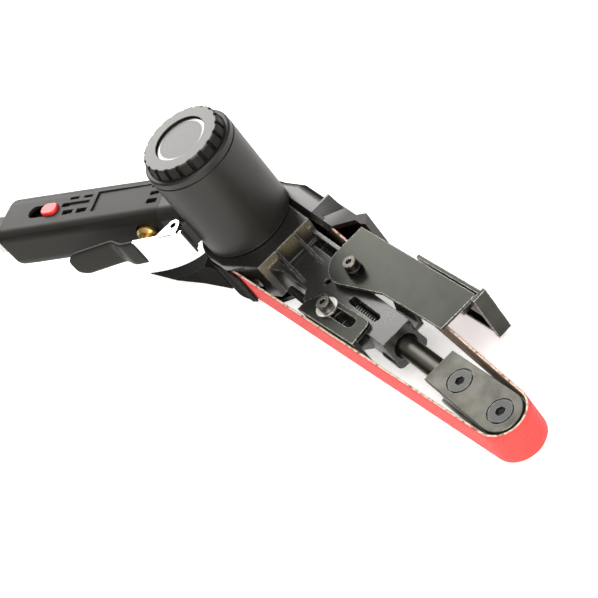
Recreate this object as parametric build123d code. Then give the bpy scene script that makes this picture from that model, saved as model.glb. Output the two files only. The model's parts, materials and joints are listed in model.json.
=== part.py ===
from build123d import *
import math
import os

# Air belt sander lying on its pulley housing. Millimetres, +Z along the motor axis,
# +X from the motor axis along the arm to the tip, origin on the motor axis at the table.

os.makedirs("parts", exist_ok=True)

# Abrasive belt and the two wheels that carry it
BELT_WIDTH = 19.0
BELT_THICKNESS = 1.2
BELT_HEIGHT = 15.0
BELT_CLEARANCE = 0.2
CENTRE_DISTANCE = 203.0
PULLEY_RADIUS = 23.8
PULLEY_WIDTH = 19.6
ROLLER_RADIUS = 10.7

# Fits
RUNNING_FIT = 0.04
SLIDE_FIT = 0.05
SEAT_FIT = 0.02
FACE_GAP = 0.1

# Motor
MOTOR_RADIUS = 23.7
MOTOR_BORE = 20.5
CAN_HEIGHT = 50.5
CAN_BEVEL = 0.7
RIM_HEIGHT = 4.4
RIM_GROOVE = 0.6
CAP_RADIUS = 21.4
CAP_TOP_RADIUS = 20.4
CAP_HEIGHT = 5.8
CAP_RIBS = 20
CAP_RIB_GAP = 2.2
CAP_RIB_DEPTH = 1.2
CAP_BEVEL = 0.7
CAP_WALL = 4.3
BADGE_RADIUS = 13.5
BADGE_THICKNESS = 0.7
BADGE_SINK = 1.2
SEAL_SIZE = 1.5
NOSE_RADIUS = 15.0
NOSE_LIP = 1.2
SHAFT_RADIUS = 4.0
BEARING_RADIUS = 11.0
BEARING_WIDTH = 7.0
END_PLATE = 5.0
LINER_LENGTH = 32.0
LINER_BORE = 16.6
LINER_OFFSET = 2.2
ROTOR_RADIUS = 14.0
VANE_COUNT = 5
VANE_THICKNESS = 2.0
VANE_DEPTH = 8.0
RETAINER_RADIUS = 20.0
RETAINER_THICKNESS = 1.5
RETAINER_SCREWS = 3
RETAINER_SCREW_RADIUS = 1.5
RETAINER_SCREW_LENGTH = 6.5
NUT_ACROSS = 13.0
NUT_HEIGHT = 4.8

# Arm
COLLAR_RADIUS = 26.5
COLLAR_THICKNESS = 3.5
COLLAR_GAP = 0.8
ARM_ABOVE_BELT = 0.5
ARM_DEPTH = 18.5
ARM_SIDE = 17.8
ARM_STEP_X = 33.5
DECK_CORNER = (12.4, -25.7)
DECK_FRONT = -15.8
SKIRT_START = 21.0
SKIRT_DEPTH = 6.0
SKIRT_THICKNESS = 3.5
BLOCK_FRONT = 128.5
BLOCK_HALF = 8.0
BOSS_REACH = 11.5
BOSS_TAPER = 7.0
BORE_BEVEL = 1.2
WING_START = 66.0
WING_DEPTH = 10.0
REST_ENDS = (30.3, 47.0)
REST_EDGE = -2.1
REST_THICKNESS = 1.8
REST_DEPTH = 7.6
REST_LEAN = 1.2
REST_FOOT = 2.6
REST_GAP = 0.2
LUG_RADIUS = 3.5
LUG_OUT = 1.0
LUG_LENGTH = 11.0
PULLEY_ROOM = 2.2
RIB_THICKNESS = 1.6
RIB_LENGTH = 28.0
RIB_TURN = -5.5
RIB_SPACING = 12.0
POCKET_DEPTH = 7.0
POCKET_LENGTH = 12.5

# Tension rod, its spring and the tip
ROD_RADIUS = 5.0
ROD_BACK = 115.0
ROD_SPIGOT = 2.4
SPRING_WIRE = 1.2
SPRING_RADIUS = 3.6
SPRING_TURNS = 20
SPRING_LENGTH = 38.0
PLUG_LENGTH = 10.0
WINDOW_LENGTH = 23.5
WINDOW_WIDTH = 4.0
TIP_PLATE = 3.0
TIP_PLATE_LENGTH = 43.0
TIP_PLATE_HALF = 8.4
TIP_PLATE_END = 9.8
TIP_SCREW_SPACING = 27.5
TIP_SCREW_RADIUS = 3.0
TIP_SCREW_HEAD = 5.5
SINK_RIM = 0.6
SINK_RIM_DEPTH = 0.7
TIP_SCREW_LENGTH = 8.0
TIP_BLOCK_HALF = 7.6
TIP_BLOCK_LENGTH = 26.0
AXLE_RADIUS = 5.0
BUSH_RADIUS = 7.5

# Pulley housing
HOUSING_RADIUS = 27.4
HOUSING_WALL = 1.6
HOUSING_FLOOR = 2.5
HOUSING_WALL_TOP = 24.6
HOUSING_SIDE = 33.2
SIDE_WALL_END = 58.0
TONGUE_END = 46.0
WING = (26.8, -20.0)
WING_FRONT = 34.8
DOME_SIDE = 31.8
DOME_START = 9.5
DOME_END = 31.7
DOME_ROUND = 5.0
DOME_LEAVE = 98.0
LIP_LEAVE = -102.0
LIP_END = (22.0, -25.4)
LIP_BELT_GAP = 0.5
LIP_RISE_START = 12.0
LIP_RISE = 6.0
RIM_GAP = 1.1
RIM_BEVEL = 2.3
RAMP_INNER = 23.3
RAMP_CREST = 1.2
RAMP_FOOT = ((38.6, 23.3), (48.0, 32.3))
LEDGE_INNER = 19.6
LEDGE_FRONT = ((46.4, 22.2), (57.7, 33.1))
LEDGE_THICKNESS = 1.2
LEDGE_FLANGE = 1.4
FLANGE_BELT_GAP = 0.8
LEDGE_OVER_BELT = 0.3
PAD_CORNERS = ((52.0, 32.0), (54.0, 33.8), (57.6, 36.6), (63.0, 32.0), (60.0, 30.8), (52.0, 30.8))
POST_RADIUS = 5.0
POST_X = 38.0
POST_SIDES = (-5.0, 9.0)
HOUSING_SCREW_RADIUS = 2.0
TAIL_ANGLE = 215.0
TAIL_LENGTH = 83.0
TAIL_SWEEP = 95.0
TAIL_INNER = 2.0
TAIL_ROOT = 21.5
TAIL_WIDTH = 18.5

# Socket head bolts of the guard and the platen
BOLT_RADIUS = 2.0
BOLT_HEAD_RADIUS = 3.5
BOLT_HEAD_HEIGHT = 4.0
BOLT_SOCKET_ACROSS = 3.0
BOLT_DEPTH = 12.0

# Platen bracket
PLATEN_BOLT = (87.5, -10.1)
PLATEN_THICKNESS = 2.0
PLATEN_BACK = -15.0
PLATEN_FRONT = 28.0
PLATEN_TOP_EDGE = 5.0
PLATEN_WALL = 2.5
PLATEN_BELT_GAP = 0.4
PLATEN_SLOT = (-2.8, 17.8)
PLATEN_SLOT_HALF = 2.7
PLATEN_WELL = (8.0, 17.0)
PLATEN_WELL_DEPTH = 6.0
PLATEN_WASHER_RADIUS = 5.5
PLATEN_WASHER = 1.0

# Guard over the return run
GUARD_BOLT = (84.5, 11.0)
GUARD_TURN = 2.35
GUARD_THICKNESS = 1.5
GUARD_SPACER = 2.5
GUARD_SPACER_RADIUS = 7.0
GUARD_WASHER = 2.2
GUARD_WASHER_RADIUS = 4.0
GUARD_EDGE = 18.8
GUARD_FRONT = 67.5
HOOD_GAP = 0.8
HOOD_THICKNESS = 1.8
HOOD_BACK = 24.0
HOOD_FLANGE = 5.0
HOOD_CLEAR = 3.0
HOOD_LIP = 7.4
HOOD_SCREW_RADIUS = 2.0
HOOD_SCREW_TAIL = 5.0
HOOD_SCREW_HEAD = 1.8
HOOD_SCREW_PLACES = (36.0, 56.0)

# Tracking screw
TRACK_KNOB_RADIUS = 2.0
TRACK_KNOB_LENGTH = 15.0
TRACK_SCREW_RADIUS = 1.5
TRACK_SCREW_LENGTH = 14.0
TRACK_END_WALL = 2.5
TRACK_Y = -12.2
TRACK_RIBS = 10

# Handle
HANDLE_ANGLE = 215.0
PORT_HEIGHT = 6.4
NECK_END = 32.0
GRIP_END = 142.0
GRIP_FRONT_SIZE = (13.4, 15.8, 26.0)
GRIP_MIDDLE_SIZE = (13.6, 16.4, 27.0)
GRIP_REAR_SIZE = (13.8, 17.2, 28.0)
GRIP_MIDDLE = 75.0
GRIP_TAIL = 12.0
GRIP_REAR = GRIP_END - GRIP_TAIL
GRIP_ROUND = 9.0
GRIP_EDGE = 5.5
GRIP_BORE = 12.0
TUBE_RADIUS = 8.0
TUBE_BORE = 5.0
SPIGOT_LENGTH = 10.0
SILENCER_START = 62.0
SILENCER_END = 97.0
VENT_ROUND = 0.4
PANEL_DEPTH = 0.5
INLET_ACROSS = 20.0
INLET_LENGTH = 12.0
INLET_THREAD_RADIUS = 5.7
INLET_THREAD_DEPTH = 14.0
INLET_SPIGOT = 7.0
INLET_SPIGOT_LENGTH = 12.0
SCREEN_THICKNESS = 1.5
GRIP_SCREW_RADIUS = 1.5
GRIP_SCREW_HEAD = 2.6
GRIP_SCREW_SINK = 0.6

# Throttle
LEVER_WIDTH = 15.5
LEVER_THICKNESS = 1.5
LEVER_PIVOT = (21.2, 20.4)
LEVER_DIP = 0.7
EAR_THICKNESS = 1.6
EAR_RADIUS = 3.4
EAR_FLARE = 0.95
EAR_SPAN = LEVER_WIDTH + 2 * EAR_FLARE
EAR_ROOT = (17.8, 30.0)
PIN_RADIUS = 1.75
PIN_BORE = 1.35
PIN_SINK = 0.2
VALVE_PLACE = 44.0
VALVE_STEM_RADIUS = 2.5
VALVE_BUSH_RADIUS = 6.4
VALVE_BUSH_END = 19.0
VALVE_HEAD_RADIUS = 4.6
VALVE_HEAD = 2.5
VALVE_CHAMBER = 5.2
VALVE_BOSS = 9.0
VALVE_SPRING_WIRE = 0.8
VALVE_SPRING_RADIUS = 3.2
VALVE_SPRING_TURNS = 3

# Speed regulator
REGULATOR_PLACE = 107.3
REGULATOR_SIDE = 2.6
REGULATOR_LENGTH = 11.0
REGULATOR_WIDTH = 7.6
REGULATOR_TRAVEL = 9.0
REGULATOR_RISE = 1.6

# Heights that follow from the sizes above
BELT_TOP = BELT_HEIGHT + BELT_WIDTH / 2
BELT_BOTTOM = BELT_HEIGHT - BELT_WIDTH / 2
PULLEY_TOP = BELT_HEIGHT + PULLEY_WIDTH / 2
PULLEY_BOTTOM = BELT_HEIGHT - PULLEY_WIDTH / 2
COLLAR_BOTTOM = PULLEY_TOP + COLLAR_GAP
COLLAR_TOP = COLLAR_BOTTOM + COLLAR_THICKNESS
CAN_BOTTOM = COLLAR_TOP + FACE_GAP
CAN_TOP = CAN_BOTTOM + CAN_HEIGHT
RIM_TOP = CAN_TOP + RIM_HEIGHT
NOSE_BOTTOM = COLLAR_BOTTOM - 2 * FACE_GAP
BEARING_FRONT = NOSE_BOTTOM + NOSE_LIP
FRONT_PLATE_Z = BEARING_FRONT + BEARING_WIDTH
LINER_Z = FRONT_PLATE_Z + END_PLATE
HANDLE_HEIGHT = LINER_Z + PORT_HEIGHT
REAR_PLATE_Z = LINER_Z + LINER_LENGTH
BEARING_REAR = REAR_PLATE_Z + END_PLATE / 2
REAR_PLATE_TOP = BEARING_REAR + BEARING_WIDTH
ARM_TOP = BELT_TOP + ARM_ABOVE_BELT
ARM_BOTTOM = ARM_TOP - ARM_DEPTH
GUARD_LOW = ARM_TOP + GUARD_SPACER
GUARD_HIGH = GUARD_LOW + GUARD_THICKNESS

# The belt's two straight runs lean by this angle to the line of centres
BELT_INNER_DRIVE = PULLEY_RADIUS + BELT_CLEARANCE
BELT_INNER_TIP = ROLLER_RADIUS + BELT_CLEARANCE
RUN_ANGLE = math.degrees(math.asin((PULLEY_RADIUS - ROLLER_RADIUS) / CENTRE_DISTANCE))


def cylinder(radius, low, high, at=(0.0, 0.0)):
    """Upright cylinder between two heights."""
    align = (Align.CENTER, Align.CENTER, Align.MIN)
    return Pos(at[0], at[1], low) * Cylinder(radius, high - low, align=align)


def tube(outer, inner, low, high, at=(0.0, 0.0)):
    """Upright tube between two heights."""
    return cylinder(outer, low, high, at) - cylinder(inner, low - 1, high + 1, at)


def along_x(radius, start, end, y=0.0, z=0.0):
    """Cylinder along X between two places."""
    align = (Align.CENTER, Align.CENTER, Align.MIN)
    return Pos(start, y, z) * Rot(0, 90, 0) * Cylinder(radius, end - start, align=align)


def along_y(radius, start, end, x=0.0, z=0.0):
    """Cylinder along Y between two places."""
    align = (Align.CENTER, Align.CENTER, Align.MIN)
    return Pos(x, start, z) * Rot(-90, 0, 0) * Cylinder(radius, end - start, align=align)


def block(x, y, z):
    """Box between pairs of limits."""
    centre = ((x[0] + x[1]) / 2, (y[0] + y[1]) / 2, (z[0] + z[1]) / 2)
    return Pos(*centre) * Box(x[1] - x[0], y[1] - y[0], z[1] - z[0])


def slab(outline, low, high):
    """Flat piece of the given outline between two heights."""
    return Pos(0, 0, low) * extrude(outline, amount=high - low, dir=(0, 0, 1))


def polygon(*points):
    """Flat face with straight sides."""
    return make_face(Polyline(*points, close=True))


def stadium(start, end, half, y=0.0):
    """Flat face of a slot along X, measured between the centres of its round ends."""
    middle = Pos((start + end) / 2, y) * Rectangle(end - start, 2 * half)
    return middle + Pos(start, y) * Circle(half) + Pos(end, y) * Circle(half)


def hexagon(across, low, high):
    """Upright hexagonal prism, measured across its flats."""
    return slab(RegularPolygon(across / 2, 6, major_radius=False), low, high)


def helix_tube(length, radius, wire_radius, turns):
    """Coil along Z from the origin: a round wire on arcs that join at every quarter turn."""
    pitch = length / turns

    def place(turn):
        angle = 2 * math.pi * turn
        return Vector(radius * math.cos(angle), radius * math.sin(angle), pitch * turn)

    def heading(turn):
        angle = 2 * math.pi * turn
        around = 2 * math.pi * radius
        return Vector(-around * math.sin(angle), around * math.cos(angle), pitch).normalized()

    edges = []
    for half in range(2 * turns):
        first, last = half / 2, half / 2 + 0.5
        p0, p1, t0, t1 = place(first), place(last), heading(first), heading(last)
        chord, both = p1 - p0, t0 + t1
        bend = 2 * (1 - t0.dot(t1))
        reach = (math.sqrt(chord.dot(both) ** 2 + bend * chord.dot(chord)) - chord.dot(both)) / bend
        middle = (p0 + t0 * reach + p1 - t1 * reach) * 0.5
        joint = (p1 - t1 * reach - p0 - t0 * reach).normalized()
        edges.append(Edge.make_tangent_arc(p0, t0, middle))
        edges.append(Edge.make_tangent_arc(middle, joint, p1))
    section = Plane(origin=place(0), z_dir=heading(0)) * Circle(wire_radius)
    steps = 72
    points = [place(i / steps) for i in range(steps * turns + 1)]
    gap = min(
        (points[i] - points[j]).length
        for i in range(0, steps)
        for j in range(i + steps // 2, min(i + 2 * steps, len(points)))
    )
    print("coil of", turns, "turns, least gap to itself", round(gap - 2 * wire_radius, 2), "mm")
    return sweep(section, path=Wire(edges))


def socket_bolt(top_of_seat):
    """Socket head cap bolt standing in a hole, its head on the given height."""
    head_top = top_of_seat + BOLT_HEAD_HEIGHT
    head = cylinder(BOLT_HEAD_RADIUS, top_of_seat, head_top)
    head = chamfer(head.edges().group_by(Axis.Z)[-1], 0.4)
    socket = hexagon(BOLT_SOCKET_ACROSS, head_top - BOLT_HEAD_HEIGHT / 2, head_top + 1)
    return head - socket + cylinder(BOLT_RADIUS, ARM_TOP - BOLT_DEPTH, top_of_seat)


def countersunk_screw(head_radius, radius, length, across):
    """Countersunk socket screw along -Z with the flat of its head at the origin."""
    depth = head_radius - radius
    cone = Pos(0, 0, -depth / 2) * Cone(radius, head_radius, depth)
    shank = cylinder(radius, -length, -depth)
    return cone + shank - hexagon(across, -0.8 * depth, 1)


def countersink(head_radius, radius, length):
    """Room for a countersunk screw, opening at the origin."""
    depth = head_radius - radius
    cone = Pos(0, 0, -depth / 2) * Cone(radius + SEAT_FIT, head_radius + SEAT_FIT, depth)
    rim = cylinder(head_radius + SINK_RIM, -SINK_RIM_DEPTH, 0)
    return cone + rim + cylinder(radius + SEAT_FIT, -length - FACE_GAP, 0)


def loop(drive, tip):
    """Flat face inside a belt line round the two wheels."""
    lean = math.radians(RUN_ANGLE)
    up = Vector(math.sin(lean), math.cos(lean))
    down = Vector(math.sin(lean), -math.cos(lean))
    far = Vector(CENTRE_DISTANCE, 0)
    ends = (up * drive, far + up * tip, far + down * tip, down * drive)
    return polygon(*ends) + Circle(drive) + Pos(CENTRE_DISTANCE, 0) * Circle(tip)


# Belt and drive

def make_belt():
    outer = loop(BELT_INNER_DRIVE + BELT_THICKNESS, BELT_INNER_TIP + BELT_THICKNESS)
    inner = loop(BELT_INNER_DRIVE, BELT_INNER_TIP)
    middle = BELT_THICKNESS / 2
    lean = math.radians(RUN_ANGLE)
    runs = 2 * CENTRE_DISTANCE * math.cos(lean)
    wraps = math.pi * (BELT_INNER_DRIVE + BELT_INNER_TIP + 2 * middle)
    difference = 2 * lean * (BELT_INNER_DRIVE - BELT_INNER_TIP)
    print("belt length", round(runs + wraps + difference, 1), "mm")
    return slab(outer - inner, BELT_BOTTOM, BELT_TOP)


PULLEY_HUB = 7.0
PULLEY_HUB_TOP = BEARING_FRONT - FACE_GAP
RETAINER_TOP = NOSE_BOTTOM
NUT_SEAT = PULLEY_BOTTOM + NUT_HEIGHT + 0.5


def make_drive_pulley():
    rim = cylinder(PULLEY_RADIUS, PULLEY_BOTTOM, PULLEY_TOP)
    rim = chamfer(rim.edges(), 0.4)
    dish = cylinder(RETAINER_RADIUS + 1, RETAINER_TOP - RETAINER_THICKNESS - 0.7, PULLEY_TOP + 1)
    nut_room = cylinder(NUT_ACROSS * 0.62 + 1, PULLEY_BOTTOM - 1, NUT_SEAT)
    hub = cylinder(PULLEY_HUB, BELT_HEIGHT, PULLEY_HUB_TOP)
    bore = cylinder(SHAFT_RADIUS + SEAT_FIT, PULLEY_BOTTOM - 1, PULLEY_TOP + BEARING_WIDTH)
    return rim - dish - nut_room + hub - bore


def make_pulley_nut():
    nut = hexagon(NUT_ACROSS, NUT_SEAT - NUT_HEIGHT, NUT_SEAT)
    return nut - cylinder(SHAFT_RADIUS + SEAT_FIT, 0, NUT_SEAT + 1)


# Motor

def handle_side(piece):
    """Sets a piece drawn along the handle (X along it, Y to the lever) in its place."""
    return Pos(0, 0, HANDLE_HEIGHT) * Rot(0, 0, HANDLE_ANGLE) * piece


def handle_section(place, size):
    """Section of the handle, square to its length, from its far and near sides and its height.

    The top edge by the lever is rounded less than the others.
    """
    far, near, height = size
    plane = Plane(origin=(place, 0, 0), x_dir=(0, 1, 0), z_dir=(1, 0, 0))
    outline = Pos((near - far) / 2, 0) * Rectangle(far + near, height)
    outline = fillet(outline.vertices().filter_by(lambda v: v.X > 0 and v.Y > 0), GRIP_EDGE)
    outline = fillet(outline.vertices().filter_by(lambda v: v.X < 0 or v.Y < 0), GRIP_ROUND)
    return plane * outline


def tube_along(outer, inner, start, end):
    """Tube along the handle."""
    return along_x(outer, start, end) - along_x(inner, start - 1, end + 1)


INLET_STEP = GRIP_END - INLET_SPIGOT_LENGTH
VALVE_LIMIT = GRIP_BORE - 0.2
BUSH_BOTTOM = 0.7
CHAMBER_END = -(VALVE_LIMIT - 1.1)


def make_handle_tube():
    """Air tube inside the grip, with the valve chamber across it."""
    body = along_x(TUBE_RADIUS, 0, GRIP_END)
    body += along_x(GRIP_BORE - SLIDE_FIT, NECK_END - 1, NECK_END + SPIGOT_LENGTH)
    body += along_x(INLET_SPIGOT + 3.5, INLET_STEP - 2, GRIP_END)
    boss = along_y(VALVE_BOSS, -GRIP_BORE, GRIP_BORE, VALVE_PLACE)
    body += boss & along_x(VALVE_LIMIT, VALVE_PLACE - 2 * VALVE_BOSS, VALVE_PLACE + 2 * VALVE_BOSS)
    return body


def make_motor_housing():
    can = cylinder(MOTOR_RADIUS, CAN_BOTTOM, CAN_TOP)
    can = chamfer(can.edges().group_by(Axis.Z)[0], CAN_BEVEL)
    can += cylinder(MOTOR_RADIUS - RIM_GROOVE, CAN_TOP, CAN_TOP + RIM_GROOVE)
    rim = cylinder(MOTOR_RADIUS - 0.2, CAN_TOP + RIM_GROOVE, RIM_TOP)
    can += chamfer(rim.edges().group_by(Axis.Z)[-1], 0.8)
    can += cylinder(NOSE_RADIUS, NOSE_BOTTOM, CAN_BOTTOM)
    neck = extrude(handle_section(0, GRIP_FRONT_SIZE), amount=NECK_END, dir=(1, 0, 0))
    ear_turn = math.degrees(math.atan2(LEVER_PIVOT[1], LEVER_PIVOT[0]))
    boss_half = EAR_SPAN / 2 - EAR_THICKNESS - FACE_GAP * 2
    reach = math.hypot(*LEVER_PIVOT)
    ear = slab(stadium(0, reach, EAR_RADIUS - 0.8), -boss_half, boss_half)
    ear = Rot(0, 0, ear_turn) * ear
    ear -= cylinder(PIN_RADIUS + SEAT_FIT, -EAR_SPAN, EAR_SPAN, LEVER_PIVOT)
    body = can + handle_side(neck + ear + make_handle_tube())
    body -= cylinder(MOTOR_BORE, FRONT_PLATE_Z, RIM_TOP + 1)
    body -= cylinder(BEARING_RADIUS + SEAT_FIT, BEARING_FRONT, FRONT_PLATE_Z + 1)
    body -= cylinder(PULLEY_HUB + 1.5, NOSE_BOTTOM - 1, FRONT_PLATE_Z)
    for place in retainer_places():
        hole_end = NOSE_BOTTOM + RETAINER_SCREW_LENGTH
        body -= cylinder(RETAINER_SCREW_RADIUS + SEAT_FIT, NOSE_BOTTOM - 1, hole_end, place)
    air = along_x(TUBE_BORE, MOTOR_BORE - 4, GRIP_END + 1)
    air += along_x(INLET_SPIGOT + SEAT_FIT, INLET_STEP, GRIP_END + 1)
    air += along_y(VALVE_CHAMBER, CHAMBER_END, BUSH_BOTTOM + 1, VALVE_PLACE)
    air += along_y(VALVE_BUSH_RADIUS + SEAT_FIT, BUSH_BOTTOM, GRIP_BORE + 1, VALVE_PLACE)
    air += grip_screw_room()
    return body - handle_side(air)


def retainer_places():
    """Centres of the retainer screws, between the bearing seat and the nose's rim."""
    pitch_radius = (BEARING_RADIUS + NOSE_RADIUS) / 2
    turns = (math.radians(360 * i / RETAINER_SCREWS) for i in range(RETAINER_SCREWS))
    return [(pitch_radius * math.cos(turn), pitch_radius * math.sin(turn)) for turn in turns]


RETAINER_HEAD = 1.9 * RETAINER_SCREW_RADIUS


def make_swivel_retainer():
    ring = tube(RETAINER_RADIUS, PULLEY_HUB + 2.5, RETAINER_TOP - RETAINER_THICKNESS, RETAINER_TOP)
    for x, y in retainer_places():
        room = countersink(RETAINER_HEAD, RETAINER_SCREW_RADIUS, RETAINER_SCREW_LENGTH)
        ring -= Pos(x, y, RETAINER_TOP - RETAINER_THICKNESS) * Rot(180, 0, 0) * room
    return ring


def make_retainer_screws():
    screws = []
    for x, y in retainer_places():
        screw = countersunk_screw(RETAINER_HEAD, RETAINER_SCREW_RADIUS, RETAINER_SCREW_LENGTH, 2)
        screws.append(Pos(x, y, RETAINER_TOP - RETAINER_THICKNESS) * Rot(180, 0, 0) * screw)
    return screws


def make_bearing(low):
    high = low + BEARING_WIDTH
    ring = tube(BEARING_RADIUS, SHAFT_RADIUS + RUNNING_FIT, low, high)
    groove = tube(BEARING_RADIUS * 0.8, SHAFT_RADIUS * 1.5, high - 0.5, high + 1)
    return ring - groove


def make_front_plate():
    return tube(MOTOR_BORE - SLIDE_FIT, SHAFT_RADIUS + 2, FRONT_PLATE_Z, LINER_Z)


def make_rear_plate():
    plate = tube(MOTOR_BORE - SLIDE_FIT, SHAFT_RADIUS + 2, REAR_PLATE_Z, REAR_PLATE_TOP)
    return plate - cylinder(BEARING_RADIUS + SEAT_FIT, BEARING_REAR, REAR_PLATE_TOP + 1)


def make_liner():
    liner = cylinder(MOTOR_BORE - SLIDE_FIT, LINER_Z, REAR_PLATE_Z)
    liner -= cylinder(LINER_BORE, LINER_Z - 1, REAR_PLATE_Z + 1, (LINER_OFFSET, 0))
    return liner - handle_side(along_x(TUBE_BORE * 0.8, LINER_BORE - LINER_OFFSET - 2, MOTOR_BORE + 1))


SHAFT_TOP = REAR_PLATE_TOP + 1
SHAFT_BOTTOM = PULLEY_BOTTOM


def vane_slot(index, clearance):
    """Radial slot of the rotor, or the vane that lies drawn back in it."""
    outer = ROTOR_RADIUS - 0.1 if clearance == 0 else ROTOR_RADIUS + 1
    inner = ROTOR_RADIUS - 0.1 - VANE_DEPTH - clearance
    half = VANE_THICKNESS / 2 + clearance
    ends = (LINER_Z + 0.3 - clearance, REAR_PLATE_Z - 0.3 + clearance)
    return Rot(0, 0, 360 * index / VANE_COUNT) * block((inner, outer), (-half, half), ends)


def make_rotor():
    rotor = cylinder(ROTOR_RADIUS, LINER_Z + 0.3, REAR_PLATE_Z - 0.3)
    rotor += cylinder(SHAFT_RADIUS, SHAFT_BOTTOM, SHAFT_TOP)
    for index in range(VANE_COUNT):
        rotor -= vane_slot(index, SLIDE_FIT)
    return rotor


def make_vanes():
    return [vane_slot(index, 0) for index in range(VANE_COUNT)]


CAP_TOP = RIM_TOP + FACE_GAP + CAP_HEIGHT
BADGE_Z = CAP_TOP - BADGE_SINK - BADGE_THICKNESS
PLUG_BOTTOM = REAR_PLATE_TOP
SEAL_Z = (PLUG_BOTTOM + RIM_TOP) / 2


def make_motor_cap():
    cap = Pos(0, 0, CAP_TOP - CAP_HEIGHT / 2) * Cone(CAP_RADIUS, CAP_TOP_RADIUS, CAP_HEIGHT)
    cap = chamfer(cap.edges().group_by(Axis.Z)[-1], CAP_BEVEL)
    for index in range(CAP_RIBS):
        gap = (-CAP_RIB_GAP / 2, CAP_RIB_GAP / 2)
        room = block((CAP_TOP_RADIUS - CAP_RIB_DEPTH, CAP_RADIUS + 2), gap, (RIM_TOP, CAP_TOP + 1))
        cap -= Rot(0, 0, 360 * index / CAP_RIBS) * room
    plug = tube(MOTOR_BORE - SLIDE_FIT, MOTOR_BORE - CAP_WALL, PLUG_BOTTOM, RIM_TOP + FACE_GAP)
    plug -= tube(MOTOR_BORE + 1, MOTOR_BORE - SEAL_SIZE, SEAL_Z - SEAL_SIZE / 2, SEAL_Z + SEAL_SIZE / 2)
    badge_room = cylinder(BADGE_RADIUS + SEAT_FIT, BADGE_Z, CAP_TOP + 1)
    return cap + plug - badge_room


def make_cap_seal():
    low, high = SEAL_Z - SEAL_SIZE / 2, SEAL_Z + SEAL_SIZE / 2
    return tube(MOTOR_BORE - SEAT_FIT, MOTOR_BORE - SEAL_SIZE, low, high)


def make_cap_disc():
    disc = cylinder(BADGE_RADIUS, BADGE_Z, BADGE_Z + BADGE_THICKNESS)
    return chamfer(disc.edges().group_by(Axis.Z)[-1], 0.25)


# Arm

POCKET_Z = ARM_TOP - POCKET_DEPTH
BORE_BACK = ROD_BACK - SPRING_LENGTH - PLUG_LENGTH
WINDOW_START = ROD_BACK - WINDOW_LENGTH
BOSS_Y = -14.0
WAIST_Y = -9.0
GUARD_SIDE = 16.5
TRACK_SEAT = PLATEN_BOLT[0] - BOLT_RADIUS - TRACK_END_WALL - TRACK_SCREW_LENGTH
TRACK_Z = BELT_HEIGHT + 2.5
SET_SCREW_X = BORE_BACK + PLUG_LENGTH / 2


def make_skirt():
    """Wall under the deck's near edge, inside the belt."""
    slope = (DECK_FRONT - DECK_CORNER[1]) / (ARM_STEP_X - DECK_CORNER[0])
    start_side = DECK_CORNER[1] + slope * (SKIRT_START - DECK_CORNER[0])
    plan = polygon(
        (SKIRT_START, start_side), (ARM_STEP_X, DECK_FRONT),
        (ARM_STEP_X, DECK_FRONT + SKIRT_THICKNESS), (SKIRT_START, start_side + SKIRT_THICKNESS),
    )
    return slab(plan, COLLAR_BOTTOM - SKIRT_DEPTH, COLLAR_BOTTOM)


def make_guard_rest():
    """Leaning wall beside the block that the guard's edge lies over, on a foot."""
    top = GUARD_LOW - REST_GAP
    bottom = top - REST_DEPTH
    foot_side = BLOCK_HALF - GUARD_BOLT[1] - 3
    far = REST_EDGE + REST_THICKNESS
    foot_top = bottom + REST_FOOT
    profile = Plane.YZ * polygon(
        (REST_EDGE, top), (far, top), (far - REST_LEAN, bottom), (foot_side, bottom),
        (foot_side, foot_top), (REST_EDGE - REST_LEAN, foot_top),
    )
    return guard_side(Pos(REST_ENDS[0], 0, 0) * extrude(profile, amount=REST_ENDS[1] - REST_ENDS[0]))


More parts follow.
